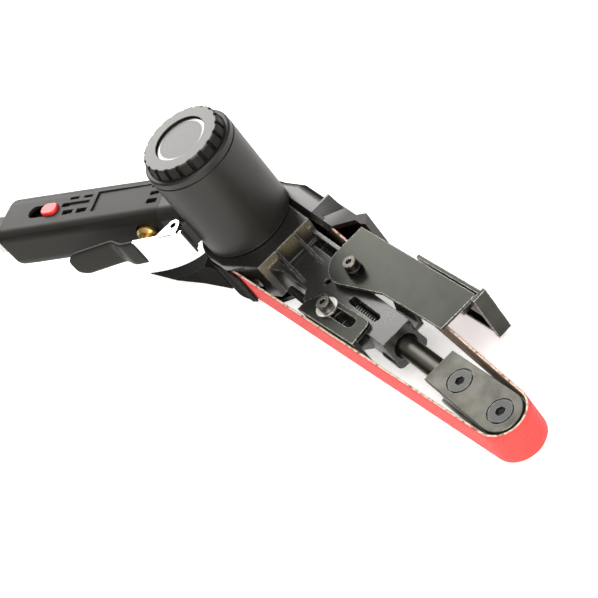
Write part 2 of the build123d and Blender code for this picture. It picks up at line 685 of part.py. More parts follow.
def make_arm():
    room = PULLEY_RADIUS + PULLEY_ROOM
    boss_end = PLATEN_BOLT[0] + BOSS_REACH
    base = polygon(
        (0, -13), (room + 6, -13), (ARM_STEP_X + 10, WAIST_Y), (TRACK_SEAT - 4, WAIST_Y),
        (TRACK_SEAT, BOSS_Y), (boss_end, BOSS_Y), (boss_end + BOSS_TAPER, -BLOCK_HALF),
        (BLOCK_FRONT - 12, -BLOCK_HALF), (BLOCK_FRONT - 12, BLOCK_HALF),
        (WING_START, BLOCK_HALF), (WING_START, GUARD_SIDE), (0, GUARD_SIDE),
    )
    arm = slab(base, ARM_BOTTOM, ARM_TOP)
    wing_bottom = ARM_TOP - WING_DEPTH
    arm += block((WING_START - 1, GUARD_BOLT[0]), (0, GUARD_SIDE), (wing_bottom, ARM_TOP))
    arm += cylinder(GUARD_SIDE - GUARD_BOLT[1], wing_bottom, ARM_TOP, GUARD_BOLT)
    arm += make_guard_rest()
    lug_y, lug_z = BLOCK_HALF + LUG_OUT - LUG_RADIUS, ARM_BOTTOM + LUG_RADIUS
    nose_x = (BLOCK_FRONT - LUG_LENGTH - 6, BLOCK_FRONT)
    arm += block(nose_x, (-BLOCK_HALF, BLOCK_HALF), (lug_z, ARM_TOP))
    arm += block(nose_x, (-lug_y, lug_y), (ARM_BOTTOM, ARM_TOP))
    for side in (lug_y, -lug_y):
        arm += along_x(LUG_RADIUS, BLOCK_FRONT - LUG_LENGTH, BLOCK_FRONT, side, lug_z)
    near_edge = (0, -COLLAR_RADIUS), DECK_CORNER, (ARM_STEP_X, DECK_FRONT)
    neck = polygon(*near_edge, (ARM_STEP_X, ARM_SIDE), (0, ARM_SIDE))
    arm += slab(neck, ARM_BOTTOM, COLLAR_TOP)
    arm -= cylinder(room, 0, COLLAR_BOTTOM)
    arm -= block((-room, ARM_STEP_X - 6), (-2 * room, 2 * room), (0, COLLAR_BOTTOM))
    arm -= cylinder(BELT_INNER_DRIVE, 0, COLLAR_BOTTOM)
    arm += make_skirt()
    plate = Circle(COLLAR_RADIUS) & polygon((-60, -60), (60, -60), (60, ARM_SIDE), (-60, ARM_SIDE))
    arm += slab(plate, COLLAR_BOTTOM, COLLAR_TOP)
    arm -= cylinder(NOSE_RADIUS + SLIDE_FIT, 0, COLLAR_TOP + 1)
    arm -= block((ARM_STEP_X, ARM_STEP_X + POCKET_LENGTH), (-6, GUARD_SIDE - 2), (POCKET_Z, ARM_TOP + 1))
    arm -= block((ARM_STEP_X + 2, ARM_STEP_X + RIB_LENGTH), (10, GUARD_SIDE - 2), (POCKET_Z - 6, ARM_TOP + 1))
    for side in (0.5, -0.5):
        profile = Plane.XZ * polygon(
            (-4, POCKET_Z), (0, COLLAR_TOP), (RIB_LENGTH, ARM_TOP), (RIB_LENGTH, POCKET_Z)
        )
        rib = extrude(profile, amount=RIB_THICKNESS / 2, both=True)
        arm += Pos(ARM_STEP_X - 0.5, side * RIB_SPACING + 2, 0) * Rot(0, 0, RIB_TURN) * rib
    arm -= along_x(ROD_RADIUS + SLIDE_FIT, BORE_BACK, BLOCK_FRONT + 1, 0, BELT_HEIGHT)
    mouth = Rot(0, 90, 0) * Cone(ROD_RADIUS, ROD_RADIUS + BORE_BEVEL, BORE_BEVEL)
    arm -= Pos(BLOCK_FRONT - BORE_BEVEL / 2, 0, BELT_HEIGHT) * mouth
    half = WINDOW_WIDTH / 2
    arm -= slab(stadium(WINDOW_START + half, ROD_BACK - half, half), BELT_HEIGHT, ARM_TOP + 1)
    well = slab(stadium(*PLATEN_WELL, PLATEN_SLOT_HALF), ARM_TOP - PLATEN_WELL_DEPTH, ARM_TOP + 1)
    arm -= platen_side(well)
    for place in (GUARD_BOLT, PLATEN_BOLT):
        arm -= cylinder(BOLT_RADIUS + SEAT_FIT, ARM_TOP - BOLT_DEPTH - 0.5, ARM_TOP + 1, place)
    arm -= cylinder(BOLT_RADIUS + SEAT_FIT, BELT_HEIGHT, ARM_TOP + 1, (SET_SCREW_X, 0))
    screw_end = TRACK_SEAT + TRACK_SCREW_LENGTH + 1
    arm -= along_x(TRACK_SCREW_RADIUS + SLIDE_FIT, TRACK_SEAT - 6, screw_end, TRACK_Y, TRACK_Z)
    for side in POST_SIDES:
        arm -= cylinder(HOUSING_SCREW_RADIUS + SEAT_FIT, 0, ARM_BOTTOM + 8, (POST_X, side))
    return arm


def make_spring_plug():
    return along_x(ROD_RADIUS, BORE_BACK, BORE_BACK + PLUG_LENGTH, 0, BELT_HEIGHT)


def make_plug_screw():
    screw = cylinder(BOLT_RADIUS, BELT_HEIGHT + ROD_RADIUS, ARM_TOP - 0.3, (SET_SCREW_X, 0))
    return screw - Pos(SET_SCREW_X, 0, 0) * hexagon(2.5, ARM_TOP - 3, ARM_TOP + 1)


def make_tension_spring():
    room = SPRING_LENGTH - SPRING_WIRE - 4 * FACE_GAP
    coil = helix_tube(room, SPRING_RADIUS, SPRING_WIRE / 2, SPRING_TURNS)
    start = BORE_BACK + PLUG_LENGTH + SPRING_WIRE / 2 + 2 * FACE_GAP
    return Pos(start, 0, BELT_HEIGHT) * Rot(0, 90, 0) * coil


# Tip

TIP_BACK = CENTRE_DISTANCE - TIP_PLATE_LENGTH
TIP_TOP = BELT_TOP + 0.1
TIP_BOTTOM = 2 * BELT_HEIGHT - TIP_TOP
TIP_INNER = TIP_TOP - TIP_PLATE
TIP_INNER_LOW = TIP_BOTTOM + TIP_PLATE
TIP_REAR_SCREW = CENTRE_DISTANCE - TIP_SCREW_SPACING
ROD_FRONT = TIP_BACK + 12


def tip_screw_places():
    return [(CENTRE_DISTANCE, 0), (TIP_REAR_SCREW, 0)]


def make_tension_rod():
    rod = along_x(ROD_RADIUS, ROD_BACK, ROD_FRONT, 0, BELT_HEIGHT)
    rod = chamfer(rod.edges(), 0.5)
    return rod + along_x(ROD_SPIGOT, ROD_BACK - 6, ROD_BACK + 1, 0, BELT_HEIGHT)


def make_tip_block():
    back = TIP_BACK + 2
    front = back + TIP_BLOCK_LENGTH
    body = block((back, front), (-TIP_BLOCK_HALF, TIP_BLOCK_HALF), (TIP_INNER_LOW, TIP_INNER))
    body = fillet(body.edges().filter_by(Axis.Z), 1)
    body -= cylinder(ROLLER_RADIUS + 1, 0, TIP_TOP, (CENTRE_DISTANCE, 0))
    body -= along_x(ROD_RADIUS + SEAT_FIT, back - 1, ROD_FRONT + FACE_GAP, 0, BELT_HEIGHT)
    reach = TIP_SCREW_LENGTH - TIP_PLATE + 0.5
    for low, high in ((TIP_INNER - reach, TIP_INNER + 1), (TIP_INNER_LOW - 1, TIP_INNER_LOW + reach)):
        body -= cylinder(TIP_SCREW_RADIUS + SEAT_FIT, low, high, (TIP_REAR_SCREW, 0))
    return body


def tip_plate_outline():
    """Plate with a straight rear edge, widening to a round end about the roller axis."""
    end = TIP_PLATE_END
    half = TIP_PLATE_HALF
    sides = polygon((TIP_BACK, -half), (CENTRE_DISTANCE, -end), (CENTRE_DISTANCE, end), (TIP_BACK, half))
    return sides + Pos(CENTRE_DISTANCE, 0) * Circle(end)


def make_near_plate():
    plate = slab(tip_plate_outline(), TIP_INNER, TIP_TOP)
    plate = chamfer(plate.edges().group_by(Axis.Z)[-1], 0.3)
    for x, y in tip_screw_places():
        plate -= Pos(x, y, TIP_TOP) * countersink(TIP_SCREW_HEAD, TIP_SCREW_RADIUS, TIP_SCREW_LENGTH)
    return plate


def mirrored(piece):
    """The same piece on the other side of the belt's middle plane."""
    return Pos(0, 0, 2 * BELT_HEIGHT) * mirror(piece, about=Plane.XY)


def make_tip_screws():
    screw = countersunk_screw(TIP_SCREW_HEAD, TIP_SCREW_RADIUS, TIP_SCREW_LENGTH, 4)
    near = [Pos(x, y, TIP_TOP) * screw for x, y in tip_screw_places()]
    return near + [mirrored(piece) for piece in near]


def make_roller_axle():
    axle = cylinder(AXLE_RADIUS, TIP_INNER_LOW, TIP_INNER, (CENTRE_DISTANCE, 0))
    reach = TIP_SCREW_LENGTH - TIP_PLATE + 0.5
    for low, high in ((TIP_INNER - reach, TIP_INNER + 1), (TIP_INNER_LOW - 1, TIP_INNER_LOW + reach)):
        axle -= cylinder(TIP_SCREW_RADIUS + SEAT_FIT, low, high, (CENTRE_DISTANCE, 0))
    return axle


ROLLER_LOW = TIP_INNER_LOW + 0.3
ROLLER_HIGH = TIP_INNER - 0.3


def make_tip_roller():
    roller = cylinder(ROLLER_RADIUS, ROLLER_LOW, ROLLER_HIGH, (CENTRE_DISTANCE, 0))
    roller = chamfer(roller.edges(), 0.4)
    return roller - cylinder(BUSH_RADIUS + SEAT_FIT, 0, TIP_TOP, (CENTRE_DISTANCE, 0))


def make_roller_bush():
    return tube(BUSH_RADIUS, AXLE_RADIUS + RUNNING_FIT, ROLLER_LOW, ROLLER_HIGH, (CENTRE_DISTANCE, 0))


# Pulley housing

DOME_TOP = COLLAR_TOP
DOME_INNER = COLLAR_BOTTOM + 0.6
RIM_EDGE = ARM_SIDE + RIM_GAP
LEDGE_LOW = BELT_TOP + LEDGE_OVER_BELT
LEDGE_TOP = LEDGE_LOW + LEDGE_THICKNESS


def polar(radius, degrees):
    """Point at a distance and a bearing from the motor axis."""
    return radius * math.cos(math.radians(degrees)), radius * math.sin(math.radians(degrees))


def belt_side(x):
    """Distance of a run's outer face from the line of centres at a place along it."""
    lean = math.radians(RUN_ANGLE)
    return (BELT_INNER_DRIVE + BELT_THICKNESS - x * math.sin(lean)) / math.cos(lean)


def housing_outline(wall):
    """Outline of the housing seen from above; with a wall, the room inside it, open at the front."""
    radius = HOUSING_RADIUS - wall
    side = DOME_SIDE - wall
    end = DOME_END
    lip = LIP_END
    leave = LIP_LEAVE
    if wall:
        leave = RUN_ANGLE - 90
        end = DOME_END + 1
        lip = (end, -belt_side(end) - LIP_BELT_GAP)
    upper = polygon((0, 0), polar(radius, DOME_LEAVE), (DOME_START, side), (end, side), (end, 0))
    lower = polygon((0, 0), polar(radius, leave), lip, (lip[0], 0))
    return Circle(radius) + upper + lower


def rim_section(x, edge, low, high):
    """Bevelled edge of the roof beside the arm, cut across at a place along it."""
    corners = ((edge, low), (edge + RIM_BEVEL, high), (RAMP_INNER, high), (RAMP_INNER, low))
    return make_face(Polyline(*[(x, y, z) for y, z in corners], close=True))


def make_rim():
    """Bevelled edge beside the arm: level along the dome, down the ramp, level along the ledge."""
    dome = (RIM_EDGE, DOME_INNER, DOME_TOP)
    ledge = (LEDGE_INNER, LEDGE_LOW, LEDGE_TOP)
    start = -math.sqrt((HOUSING_RADIUS - HOUSING_WALL) ** 2 - RAMP_INNER ** 2)
    places = (start, dome), (DOME_END, dome), (RAMP_FOOT[0][0], ledge), (LEDGE_FRONT[0][0], ledge)
    sections = [rim_section(x, *heights) for x, heights in places]
    pieces = [loft(pair, ruled=True) for pair in zip(sections, sections[1:])]
    return pieces[0] + pieces[1] + pieces[2]


def make_dome(inside):
    """Raised roof over the pulley beside the arm, its front sloping down to the ledge."""
    edge_y = RIM_EDGE + RIM_BEVEL
    beside = polygon((-60, edge_y), (DOME_END, edge_y), (DOME_END, 60), (-60, 60))
    top = slab(housing_outline(0) & beside, HOUSING_WALL_TOP - DOME_ROUND, DOME_TOP)
    outer_edges = [
        edge for edge in top.edges().group_by(Axis.Z)[-1]
        if edge.center().Y > edge_y + 0.5 and edge.center().X < DOME_END - 0.5
    ]
    top = fillet(outer_edges, DOME_ROUND)
    top -= slab(inside, 0, DOME_INNER)
    back = DOME_END - RAMP_CREST
    sides = (back, RAMP_INNER), (back, HOUSING_SIDE)
    foot = polygon(sides[0], *RAMP_FOOT, sides[1])
    crest = polygon(sides[0], (DOME_END, RAMP_INNER), (DOME_END, HOUSING_SIDE), sides[1])
    ramp = loft([Pos(0, 0, LEDGE_LOW) * foot, Pos(0, 0, DOME_TOP) * crest], ruled=True)
    return top + ramp + make_rim()


def make_pulley_housing():
    inside = housing_outline(HOUSING_WALL)
    back = DOME_END - DOME_ROUND / 2
    shell = slab(housing_outline(0), 0, HOUSING_WALL_TOP)
    shell -= slab(inside, HOUSING_FLOOR, HOUSING_WALL_TOP + 1)
    shell += make_dome(inside)
    edge_y = LEDGE_INNER + RIM_BEVEL
    ledge = polygon((back, edge_y), (LEDGE_FRONT[0][0], edge_y), *LEDGE_FRONT, (back, HOUSING_SIDE))
    shell += slab(ledge, LEDGE_LOW, LEDGE_TOP)
    (near_x, near_y), (far_x, far_y) = LEDGE_FRONT
    skip = belt_side(near_x) + FLANGE_BELT_GAP - near_y
    corner_x = near_x + skip * (far_x - near_x) / (far_y - near_y)
    flange = polygon(
        (corner_x, near_y + skip), (far_x, far_y), (far_x - LEDGE_FLANGE, far_y),
        (corner_x - LEDGE_FLANGE, near_y + skip),
    )
    shell += slab(flange, LEDGE_LOW - LEDGE_FLANGE, LEDGE_TOP)
    shell += block((back, SIDE_WALL_END), (HOUSING_SIDE - HOUSING_WALL, HOUSING_SIDE), (0, LEDGE_TOP))
    shell += slab(polygon(*PAD_CORNERS), 0, LEDGE_TOP)
    near = POST_SIDES[0] - POST_RADIUS
    far = POST_SIDES[1] + POST_RADIUS
    under_lip = polygon(
        (LIP_RISE_START, -1), (LIP_RISE_START, 0), (LIP_END[0], LIP_RISE), (LIP_END[0] + 1, LIP_RISE),
        (LIP_END[0] + 1, -1),
    )
    shell -= Pos(0, near, 0) * extrude(Plane.XZ * under_lip, amount=HOUSING_RADIUS)
    tongue = polygon(
        (0, WING[1]), WING, (WING_FRONT, near), (TONGUE_END, near), (TONGUE_END, far),
        (SIDE_WALL_END, 2 * far), (SIDE_WALL_END, HOUSING_SIDE), (back, HOUSING_SIDE), (0, far),
    )
    shell += slab(tongue, 0, HOUSING_FLOOR)
    for side in POST_SIDES:
        shell += cylinder(POST_RADIUS, 0, ARM_BOTTOM, (POST_X, side))
    shell += make_tail()
    for side in POST_SIDES:
        room = countersink(2 * HOUSING_SCREW_RADIUS, HOUSING_SCREW_RADIUS, ARM_BOTTOM + 1)
        shell -= Pos(POST_X, side, 0) * Rot(180, 0, 0) * room
    return shell - slab(inside & Circle(HOUSING_RADIUS), HOUSING_FLOOR, HOUSING_WALL_TOP)


def make_tail():
    """Tapered tail of the housing, hollowed on top by a long round sweep."""
    outline = polygon(
        (TAIL_LENGTH, TAIL_INNER), (0.74 * TAIL_LENGTH, 9), (0.5 * TAIL_LENGTH, 13),
        (TAIL_ROOT, TAIL_WIDTH), (TAIL_ROOT, TAIL_INNER),
    )
    tail = slab(outline, 0, HOUSING_WALL_TOP - 8)
    sweep_room = along_y(TAIL_SWEEP, -60, 60, TAIL_LENGTH - 1, TAIL_SWEEP + 0.6)
    return Rot(0, 0, TAIL_ANGLE) * (tail - sweep_room)


def make_housing_screws():
    screw = countersunk_screw(2 * HOUSING_SCREW_RADIUS, HOUSING_SCREW_RADIUS, ARM_BOTTOM + 7, 2.5)
    return [Pos(POST_X, side, 0) * Rot(180, 0, 0) * screw for side in POST_SIDES]


# Guard

HOOD_INNER = GUARD_EDGE + HOOD_GAP
HOOD_SCREW_Z = BELT_HEIGHT + 2


def guard_side(piece):
    """Sets a piece drawn about the guard bolt in its place."""
    return Pos(GUARD_BOLT[0], GUARD_BOLT[1], 0) * Rot(0, 0, GUARD_TURN) * piece


def make_guard():
    edge = GUARD_EDGE
    nose = ThreePointArc((0, -9.2), (-13.4, -7.0), (-18.4, 2.5))
    front = (GUARD_FRONT, edge), (GUARD_FRONT - 1, -1.8)
    rest = Polyline((-18.4, 2.5), (-17.6, edge), *front, (24, -2.6), (0, -9.2))
    plate = slab(make_face([nose, *rest.edges()]), GUARD_LOW, GUARD_HIGH)
    web_ends = (HOOD_BACK + 5, GUARD_FRONT - 2)
    web = block(web_ends, (edge - GUARD_THICKNESS, edge), (HOOD_SCREW_Z - 5, GUARD_HIGH))
    guard = plate + web
    guard -= cylinder(BOLT_RADIUS + SLIDE_FIT, GUARD_LOW - 1, GUARD_HIGH + 1)
    for place in HOOD_SCREW_PLACES:
        guard -= along_y(HOOD_SCREW_RADIUS + SEAT_FIT, edge - 5, edge + 1, place, HOOD_SCREW_Z)
    return guard_side(guard)


def make_hood():
    outer = HOOD_INNER + HOOD_THICKNESS
    front = GUARD_FRONT + HOOD_THICKNESS + 0.5
    web = block((HOOD_BACK, front), (HOOD_INNER, outer), (HOOD_CLEAR, GUARD_HIGH))
    kick = outer + 1.5
    lip = block((front - HOOD_THICKNESS, front), (kick - HOOD_LIP, kick), (HOOD_CLEAR, GUARD_HIGH))
    floor = (HOOD_CLEAR, HOOD_CLEAR + HOOD_THICKNESS)
    flange = block((HOOD_BACK + 4, front), (outer - HOOD_FLANGE, outer), floor)
    hood = web + lip + flange
    for place in HOOD_SCREW_PLACES:
        hood -= along_y(HOOD_SCREW_RADIUS + SEAT_FIT, HOOD_INNER - 1, outer + 1, place, HOOD_SCREW_Z)
    return guard_side(hood)


def make_hood_screws():
    outer = HOOD_INNER + HOOD_THICKNESS
    screws = []
    for place in HOOD_SCREW_PLACES:
        tail = GUARD_EDGE - GUARD_THICKNESS - HOOD_SCREW_TAIL
        shank = along_y(HOOD_SCREW_RADIUS, tail, outer, place, HOOD_SCREW_Z)
        collar = along_y(1.6 * HOOD_SCREW_RADIUS, GUARD_EDGE, HOOD_INNER, place, HOOD_SCREW_Z)
        head = along_y(1.9 * HOOD_SCREW_RADIUS, outer, outer + HOOD_SCREW_HEAD, place, HOOD_SCREW_Z)
        head = fillet(head.edges().group_by(Axis.Y)[-1], 0.8)
        screws.append(guard_side(shank + collar + head))
    return screws


def make_guard_spacer():
    return tube(GUARD_SPACER_RADIUS, BOLT_RADIUS + SEAT_FIT, ARM_TOP, GUARD_LOW, GUARD_BOLT)


def make_guard_washer():
    low = GUARD_HIGH
    return tube(GUARD_WASHER_RADIUS, BOLT_RADIUS + SEAT_FIT, low, low + GUARD_WASHER, GUARD_BOLT)


def make_guard_bolt():
    return Pos(GUARD_BOLT[0], GUARD_BOLT[1], 0) * socket_bolt(GUARD_HIGH + GUARD_WASHER)


# Platen

PLATEN_LOW = ARM_TOP
PLATEN_HIGH = PLATEN_LOW + PLATEN_THICKNESS


def platen_side(piece):
    """Sets a piece drawn along the working run about the platen bolt in its place."""
    return Pos(PLATEN_BOLT[0], PLATEN_BOLT[1], 0) * Rot(0, 0, RUN_ANGLE) * piece


def platen_face():
    """Distance from the platen bolt to the platen's outer face, just inside the belt."""
    lean = math.radians(RUN_ANGLE)
    to_bolt = math.sin(lean) * PLATEN_BOLT[0] - math.cos(lean) * PLATEN_BOLT[1]
    return BELT_INNER_DRIVE - to_bolt - PLATEN_BELT_GAP


def make_platen():
    face = -platen_face()
    back, front, edge = PLATEN_BACK, PLATEN_FRONT, PLATEN_TOP_EDGE
    top = polygon((back, face), (front, face), (front - 1, edge), (back + 6.5, edge), (back, -3))
    plate = slab(top, PLATEN_LOW, PLATEN_HIGH)
    plate = fillet(plate.edges().filter_by(Axis.Z).sort_by(Axis.X)[-2:].sort_by(Axis.Y)[-1], 3)
    wall = block((back + 3, front), (face, face + PLATEN_WALL), (BELT_BOTTOM + 0.5, PLATEN_HIGH))
    platen = plate + wall
    platen -= slab(stadium(*PLATEN_SLOT, PLATEN_SLOT_HALF), PLATEN_LOW - 1, PLATEN_HIGH + 1)
    return platen_side(platen)


def make_platen_washer():
    low = PLATEN_HIGH
    return tube(PLATEN_WASHER_RADIUS, BOLT_RADIUS + SEAT_FIT, low, low + PLATEN_WASHER, PLATEN_BOLT)


def make_platen_bolt():
    return Pos(PLATEN_BOLT[0], PLATEN_BOLT[1], 0) * socket_bolt(PLATEN_HIGH + PLATEN_WASHER)


def make_tracking_screw():
    start = TRACK_SEAT - 6 - TRACK_KNOB_LENGTH
    knob = along_x(TRACK_KNOB_RADIUS, start, start + TRACK_KNOB_LENGTH, TRACK_Y, TRACK_Z)
    knob = chamfer(knob.edges(), 0.4)
    for index in range(TRACK_RIBS):
        turn = Rot(360 * index / TRACK_RIBS, 0, 0)
        groove = Pos(0, 0, TRACK_KNOB_RADIUS) * Box(TRACK_KNOB_LENGTH - 3, 0.5, 0.6)
        knob -= Pos(start + TRACK_KNOB_LENGTH / 2, TRACK_Y, TRACK_Z) * turn * groove
    shank_end = TRACK_SEAT + TRACK_SCREW_LENGTH
    return knob + along_x(TRACK_SCREW_RADIUS, start + 1, shank_end, TRACK_Y, TRACK_Z)


# Handle and throttle

def grip_top(place):
    """Height of the grip's flat above its axis at a place along it."""
    if place < GRIP_MIDDLE:
        share = (place - NECK_END) / (GRIP_MIDDLE - NECK_END)
        return (GRIP_FRONT_SIZE[2] + share * (GRIP_MIDDLE_SIZE[2] - GRIP_FRONT_SIZE[2])) / 2
    share = (place - GRIP_MIDDLE) / (GRIP_REAR - GRIP_MIDDLE)
    return (GRIP_MIDDLE_SIZE[2] + share * (GRIP_REAR_SIZE[2] - GRIP_MIDDLE_SIZE[2])) / 2


GRIP_SCREW_PLACE = (NECK_END + SPIGOT_LENGTH / 2, 0)
FRONT_VENTS = ((38.9, -3.8, 5.6, 1.7), (38.0, 1.0, 5.6, 2.4), (38.0, 6.0, 6.4, 3.0))
REAR_VENTS = ((93.0, -3.4, 6.1, 1.7), (83.7, -3.4, 6.1, 1.7), (93.9, 5.8, 6.9, 3.0), (84.4, 5.8, 6.9, 3.0))
LONG_VENT = (90.7, 0.6, 18.8, 2.6)
PANEL_PLACE = (42.4, 77.5)
PANEL_SIDES = (-5.4, 7.6)


def from_below(piece):
    """Turns a piece drawn on top of the handle to its underside."""
    return Rot(180, 0, 0) * piece


def grip_screw_room():
    """Room for the grip screw in the spigot under the grip."""
    room = cylinder(GRIP_SCREW_RADIUS + SEAT_FIT, TUBE_BORE + 0.6, GRIP_BORE + 2, GRIP_SCREW_PLACE)
    return from_below(room)


def regulator_slot(clearance):
    """Flat outline of the slot that the regulator's thumb piece moves in."""
    half = REGULATOR_WIDTH / 2 + clearance
    start = REGULATOR_PLACE - REGULATOR_LENGTH / 2 + REGULATOR_WIDTH / 2
    end = REGULATOR_PLACE + REGULATOR_LENGTH / 2 - REGULATOR_WIDTH / 2
    return stadium(start, end + (REGULATOR_TRAVEL + 0.4 if clearance else 0), half, REGULATOR_SIDE)


def make_grip():
    sections = [
        handle_section(NECK_END + FACE_GAP, GRIP_FRONT_SIZE),
        handle_section(GRIP_MIDDLE, GRIP_MIDDLE_SIZE),
        handle_section(GRIP_REAR, GRIP_REAR_SIZE),
    ]
    grip = loft(sections[:2], ruled=True) + loft(sections[1:], ruled=True)
    tail = extrude(handle_section(GRIP_REAR, GRIP_REAR_SIZE), amount=GRIP_END - GRIP_REAR, dir=(1, 0, 0))
    grip += fillet(tail.edges().group_by(Axis.X)[-1], 3)
    grip -= along_x(GRIP_BORE, 0, INLET_STEP - 4)
    grip -= along_x(INLET_SPIGOT + 3.5 + SLIDE_FIT, 0, GRIP_END + 1)
    grip -= along_y(VALVE_BUSH_RADIUS + 1, 0, 3 * GRIP_BORE, VALVE_PLACE)
    reach = 2 * GRIP_BORE
    for x, y, length, width in (*FRONT_VENTS, *REAR_VENTS, LONG_VENT):
        grip -= slab(Pos(x, y) * RectangleRounded(length, width, VENT_ROUND), GRIP_BORE / 2, reach)
    lower = grip_top(PANEL_PLACE[0]) - PANEL_DEPTH
    grip -= block(PANEL_PLACE, PANEL_SIDES, (lower, reach))
    grip -= slab(regulator_slot(SLIDE_FIT * 3), GRIP_BORE / 2, reach)
    grip -= from_below(cylinder(GRIP_SCREW_RADIUS + SEAT_FIT, GRIP_BORE / 2, reach, GRIP_SCREW_PLACE))
    seat = grip_top(GRIP_SCREW_PLACE[0]) - GRIP_SCREW_SINK
    grip -= from_below(cylinder(GRIP_SCREW_HEAD + SLIDE_FIT, seat, reach, GRIP_SCREW_PLACE))
    return handle_side(grip)


def make_grip_screw():
    seat = grip_top(GRIP_SCREW_PLACE[0]) - GRIP_SCREW_SINK
    shank = cylinder(GRIP_SCREW_RADIUS, TUBE_BORE + 1, seat, GRIP_SCREW_PLACE)
    head = cylinder(GRIP_SCREW_HEAD, seat, seat + 1.2, GRIP_SCREW_PLACE)
    return handle_side(from_below(shank + fillet(head.edges().group_by(Axis.Z)[-1], 0.6)))


def make_silencer():
    return handle_side(tube_along(GRIP_BORE - 0.2, TUBE_RADIUS + 0.2, SILENCER_START, SILENCER_END))


def make_inlet_bushing():
    nut = Pos(GRIP_END, 0, 0) * Rot(0, 90, 0) * slab(
        RegularPolygon(INLET_ACROSS / 2, 6, major_radius=False), 0, INLET_LENGTH
    )
    body = nut + along_x(INLET_SPIGOT, INLET_STEP + SCREEN_THICKNESS, GRIP_END + 1)
    end = GRIP_END + INLET_LENGTH
    body -= along_x(INLET_THREAD_RADIUS, end - INLET_THREAD_DEPTH, end + 1)
    return handle_side(body - along_x(TUBE_BORE - 1, 0, end))


def make_inlet_screen():
    screen = along_x(INLET_SPIGOT, INLET_STEP, INLET_STEP + SCREEN_THICKNESS)
    for ring, count in ((1.6, 5), (3.6, 10)):
        for index in range(count):
            turn = 2 * math.pi * index / count
            y, z = ring * math.cos(turn), ring * math.sin(turn)
            screen -= along_x(0.6, 0, GRIP_END, y, z)
    return handle_side(screen)


LEVER_PATH = ((15.5, 25.0), (22.0, 26.1), (46.0, 27.6), (53.0, 28.3), (60.0, 24.9), (88.0, 31.4))
LEVER_DIP_START = 45.0


def lever_face(place):
    """Height of the dipped lever's inner face above the handle's axis at a place along it."""
    for (x0, y0), (x1, y1) in zip(LEVER_PATH, LEVER_PATH[1:]):
        if x0 <= place <= x1:
            middle = y0 + (y1 - y0) * (place - x0) / (x1 - x0)
            return middle - LEVER_THICKNESS - LEVER_DIP


def lever_strip(thicker, half):
    """Bent strip of the lever, thickened on both faces."""
    top = [(x, y + thicker) for x, y in LEVER_PATH]
    bottom = [(x, y - LEVER_THICKNESS - thicker) for x, y in LEVER_PATH]
    return slab(polygon(*top, *reversed(bottom)), -half, half)


def lever_paddle(inset):
    """Finger end of the lever with its rounded tip, drawn in by the dip's thickness."""
    half = LEVER_WIDTH / 2 - inset
    end = LEVER_PATH[-1][0] - inset
    length = end - LEVER_DIP_START
    plan = Pos(end - length / 2, 0) * Rectangle(length, 2 * half)
    plan = fillet(plan.vertices().sort_by(Axis.X)[-2:], half - 1)
    room = extrude(Plane.XZ * plan, amount=-2 * end)
    return lever_strip(LEVER_DIP - inset, half) & room


def make_lever():
    px, py = LEVER_PIVOT
    span = EAR_SPAN / 2
    root = lever_strip(0, LEVER_WIDTH / 2) & block((0, LEVER_DIP_START), (0, 60), (-span, span))
    near, far = EAR_ROOT
    side = polygon(
        (near, py + 5), (far, py + 6), (px + 2, py - 0.8 * EAR_RADIUS), (px - EAR_RADIUS, py),
    )
    side = side + Pos(px, py) * Circle(EAR_RADIUS) - Pos(px, py) * Circle(PIN_RADIUS + RUNNING_FIT)
    inner = span - EAR_THICKNESS
    ears = slab(side, inner, span) + slab(side, -span, -inner)
    return handle_side(root + lever_paddle(LEVER_DIP) + ears)


def make_lever_grip():
    return handle_side(lever_paddle(0) - lever_paddle(LEVER_DIP))


def make_lever_pin():
    half = EAR_SPAN / 2 - PIN_SINK
    return handle_side(tube(PIN_RADIUS, PIN_BORE, -half, half, LEVER_PIVOT))


def make_valve_bush():
    bush = along_y(VALVE_BUSH_RADIUS, BUSH_BOTTOM, GRIP_BORE + 2, VALVE_PLACE)
    bush += along_y(VALVE_BUSH_RADIUS, GRIP_BORE + 1, VALVE_BUSH_END, VALVE_PLACE)
    bush = chamfer(bush.edges().group_by(Axis.Y)[-1], 1.5)
    return handle_side(bush - along_y(VALVE_STEM_RADIUS + RUNNING_FIT, -20, 40, VALVE_PLACE))


VALVE_HEAD_TOP = BUSH_BOTTOM - FACE_GAP
VALVE_HEAD_BOTTOM = VALVE_HEAD_TOP - VALVE_HEAD
VALVE_STEM_END = lever_face(VALVE_PLACE - VALVE_STEM_RADIUS) - FACE_GAP


def make_valve_stem():
    stem = along_y(VALVE_STEM_RADIUS, VALVE_HEAD_TOP - 1, VALVE_STEM_END, VALVE_PLACE)
    stem = fillet(stem.edges().group_by(Axis.Y)[-1], 1.2)
    return handle_side(stem + along_y(VALVE_HEAD_RADIUS, VALVE_HEAD_BOTTOM, VALVE_HEAD_TOP, VALVE_PLACE))


def make_valve_spring():
    low = CHAMBER_END + VALVE_SPRING_WIRE / 2 + FACE_GAP
    high = VALVE_HEAD_BOTTOM - VALVE_SPRING_WIRE / 2 - FACE_GAP
    coil = helix_tube(high - low, VALVE_SPRING_RADIUS, VALVE_SPRING_WIRE / 2, VALVE_SPRING_TURNS)
    return handle_side(Pos(VALVE_PLACE, low, 0) * Rot(-90, 0, 0) * coil)


def make_regulator():
    flat = grip_top(REGULATOR_PLACE)
    thumb = slab(regulator_slot(0), GRIP_BORE - 2, flat + REGULATOR_RISE)
    thumb = fillet(thumb.edges().group_by(Axis.Z)[-1], 0.8)
    reach = REGULATOR_LENGTH / 2 + 2
    half = REGULATOR_WIDTH / 2 + 1
    low = TUBE_RADIUS + FACE_GAP
    base = block((REGULATOR_PLACE - reach, REGULATOR_PLACE + reach), (-half, half), (low, low + 2))
    return handle_side(base + thumb)


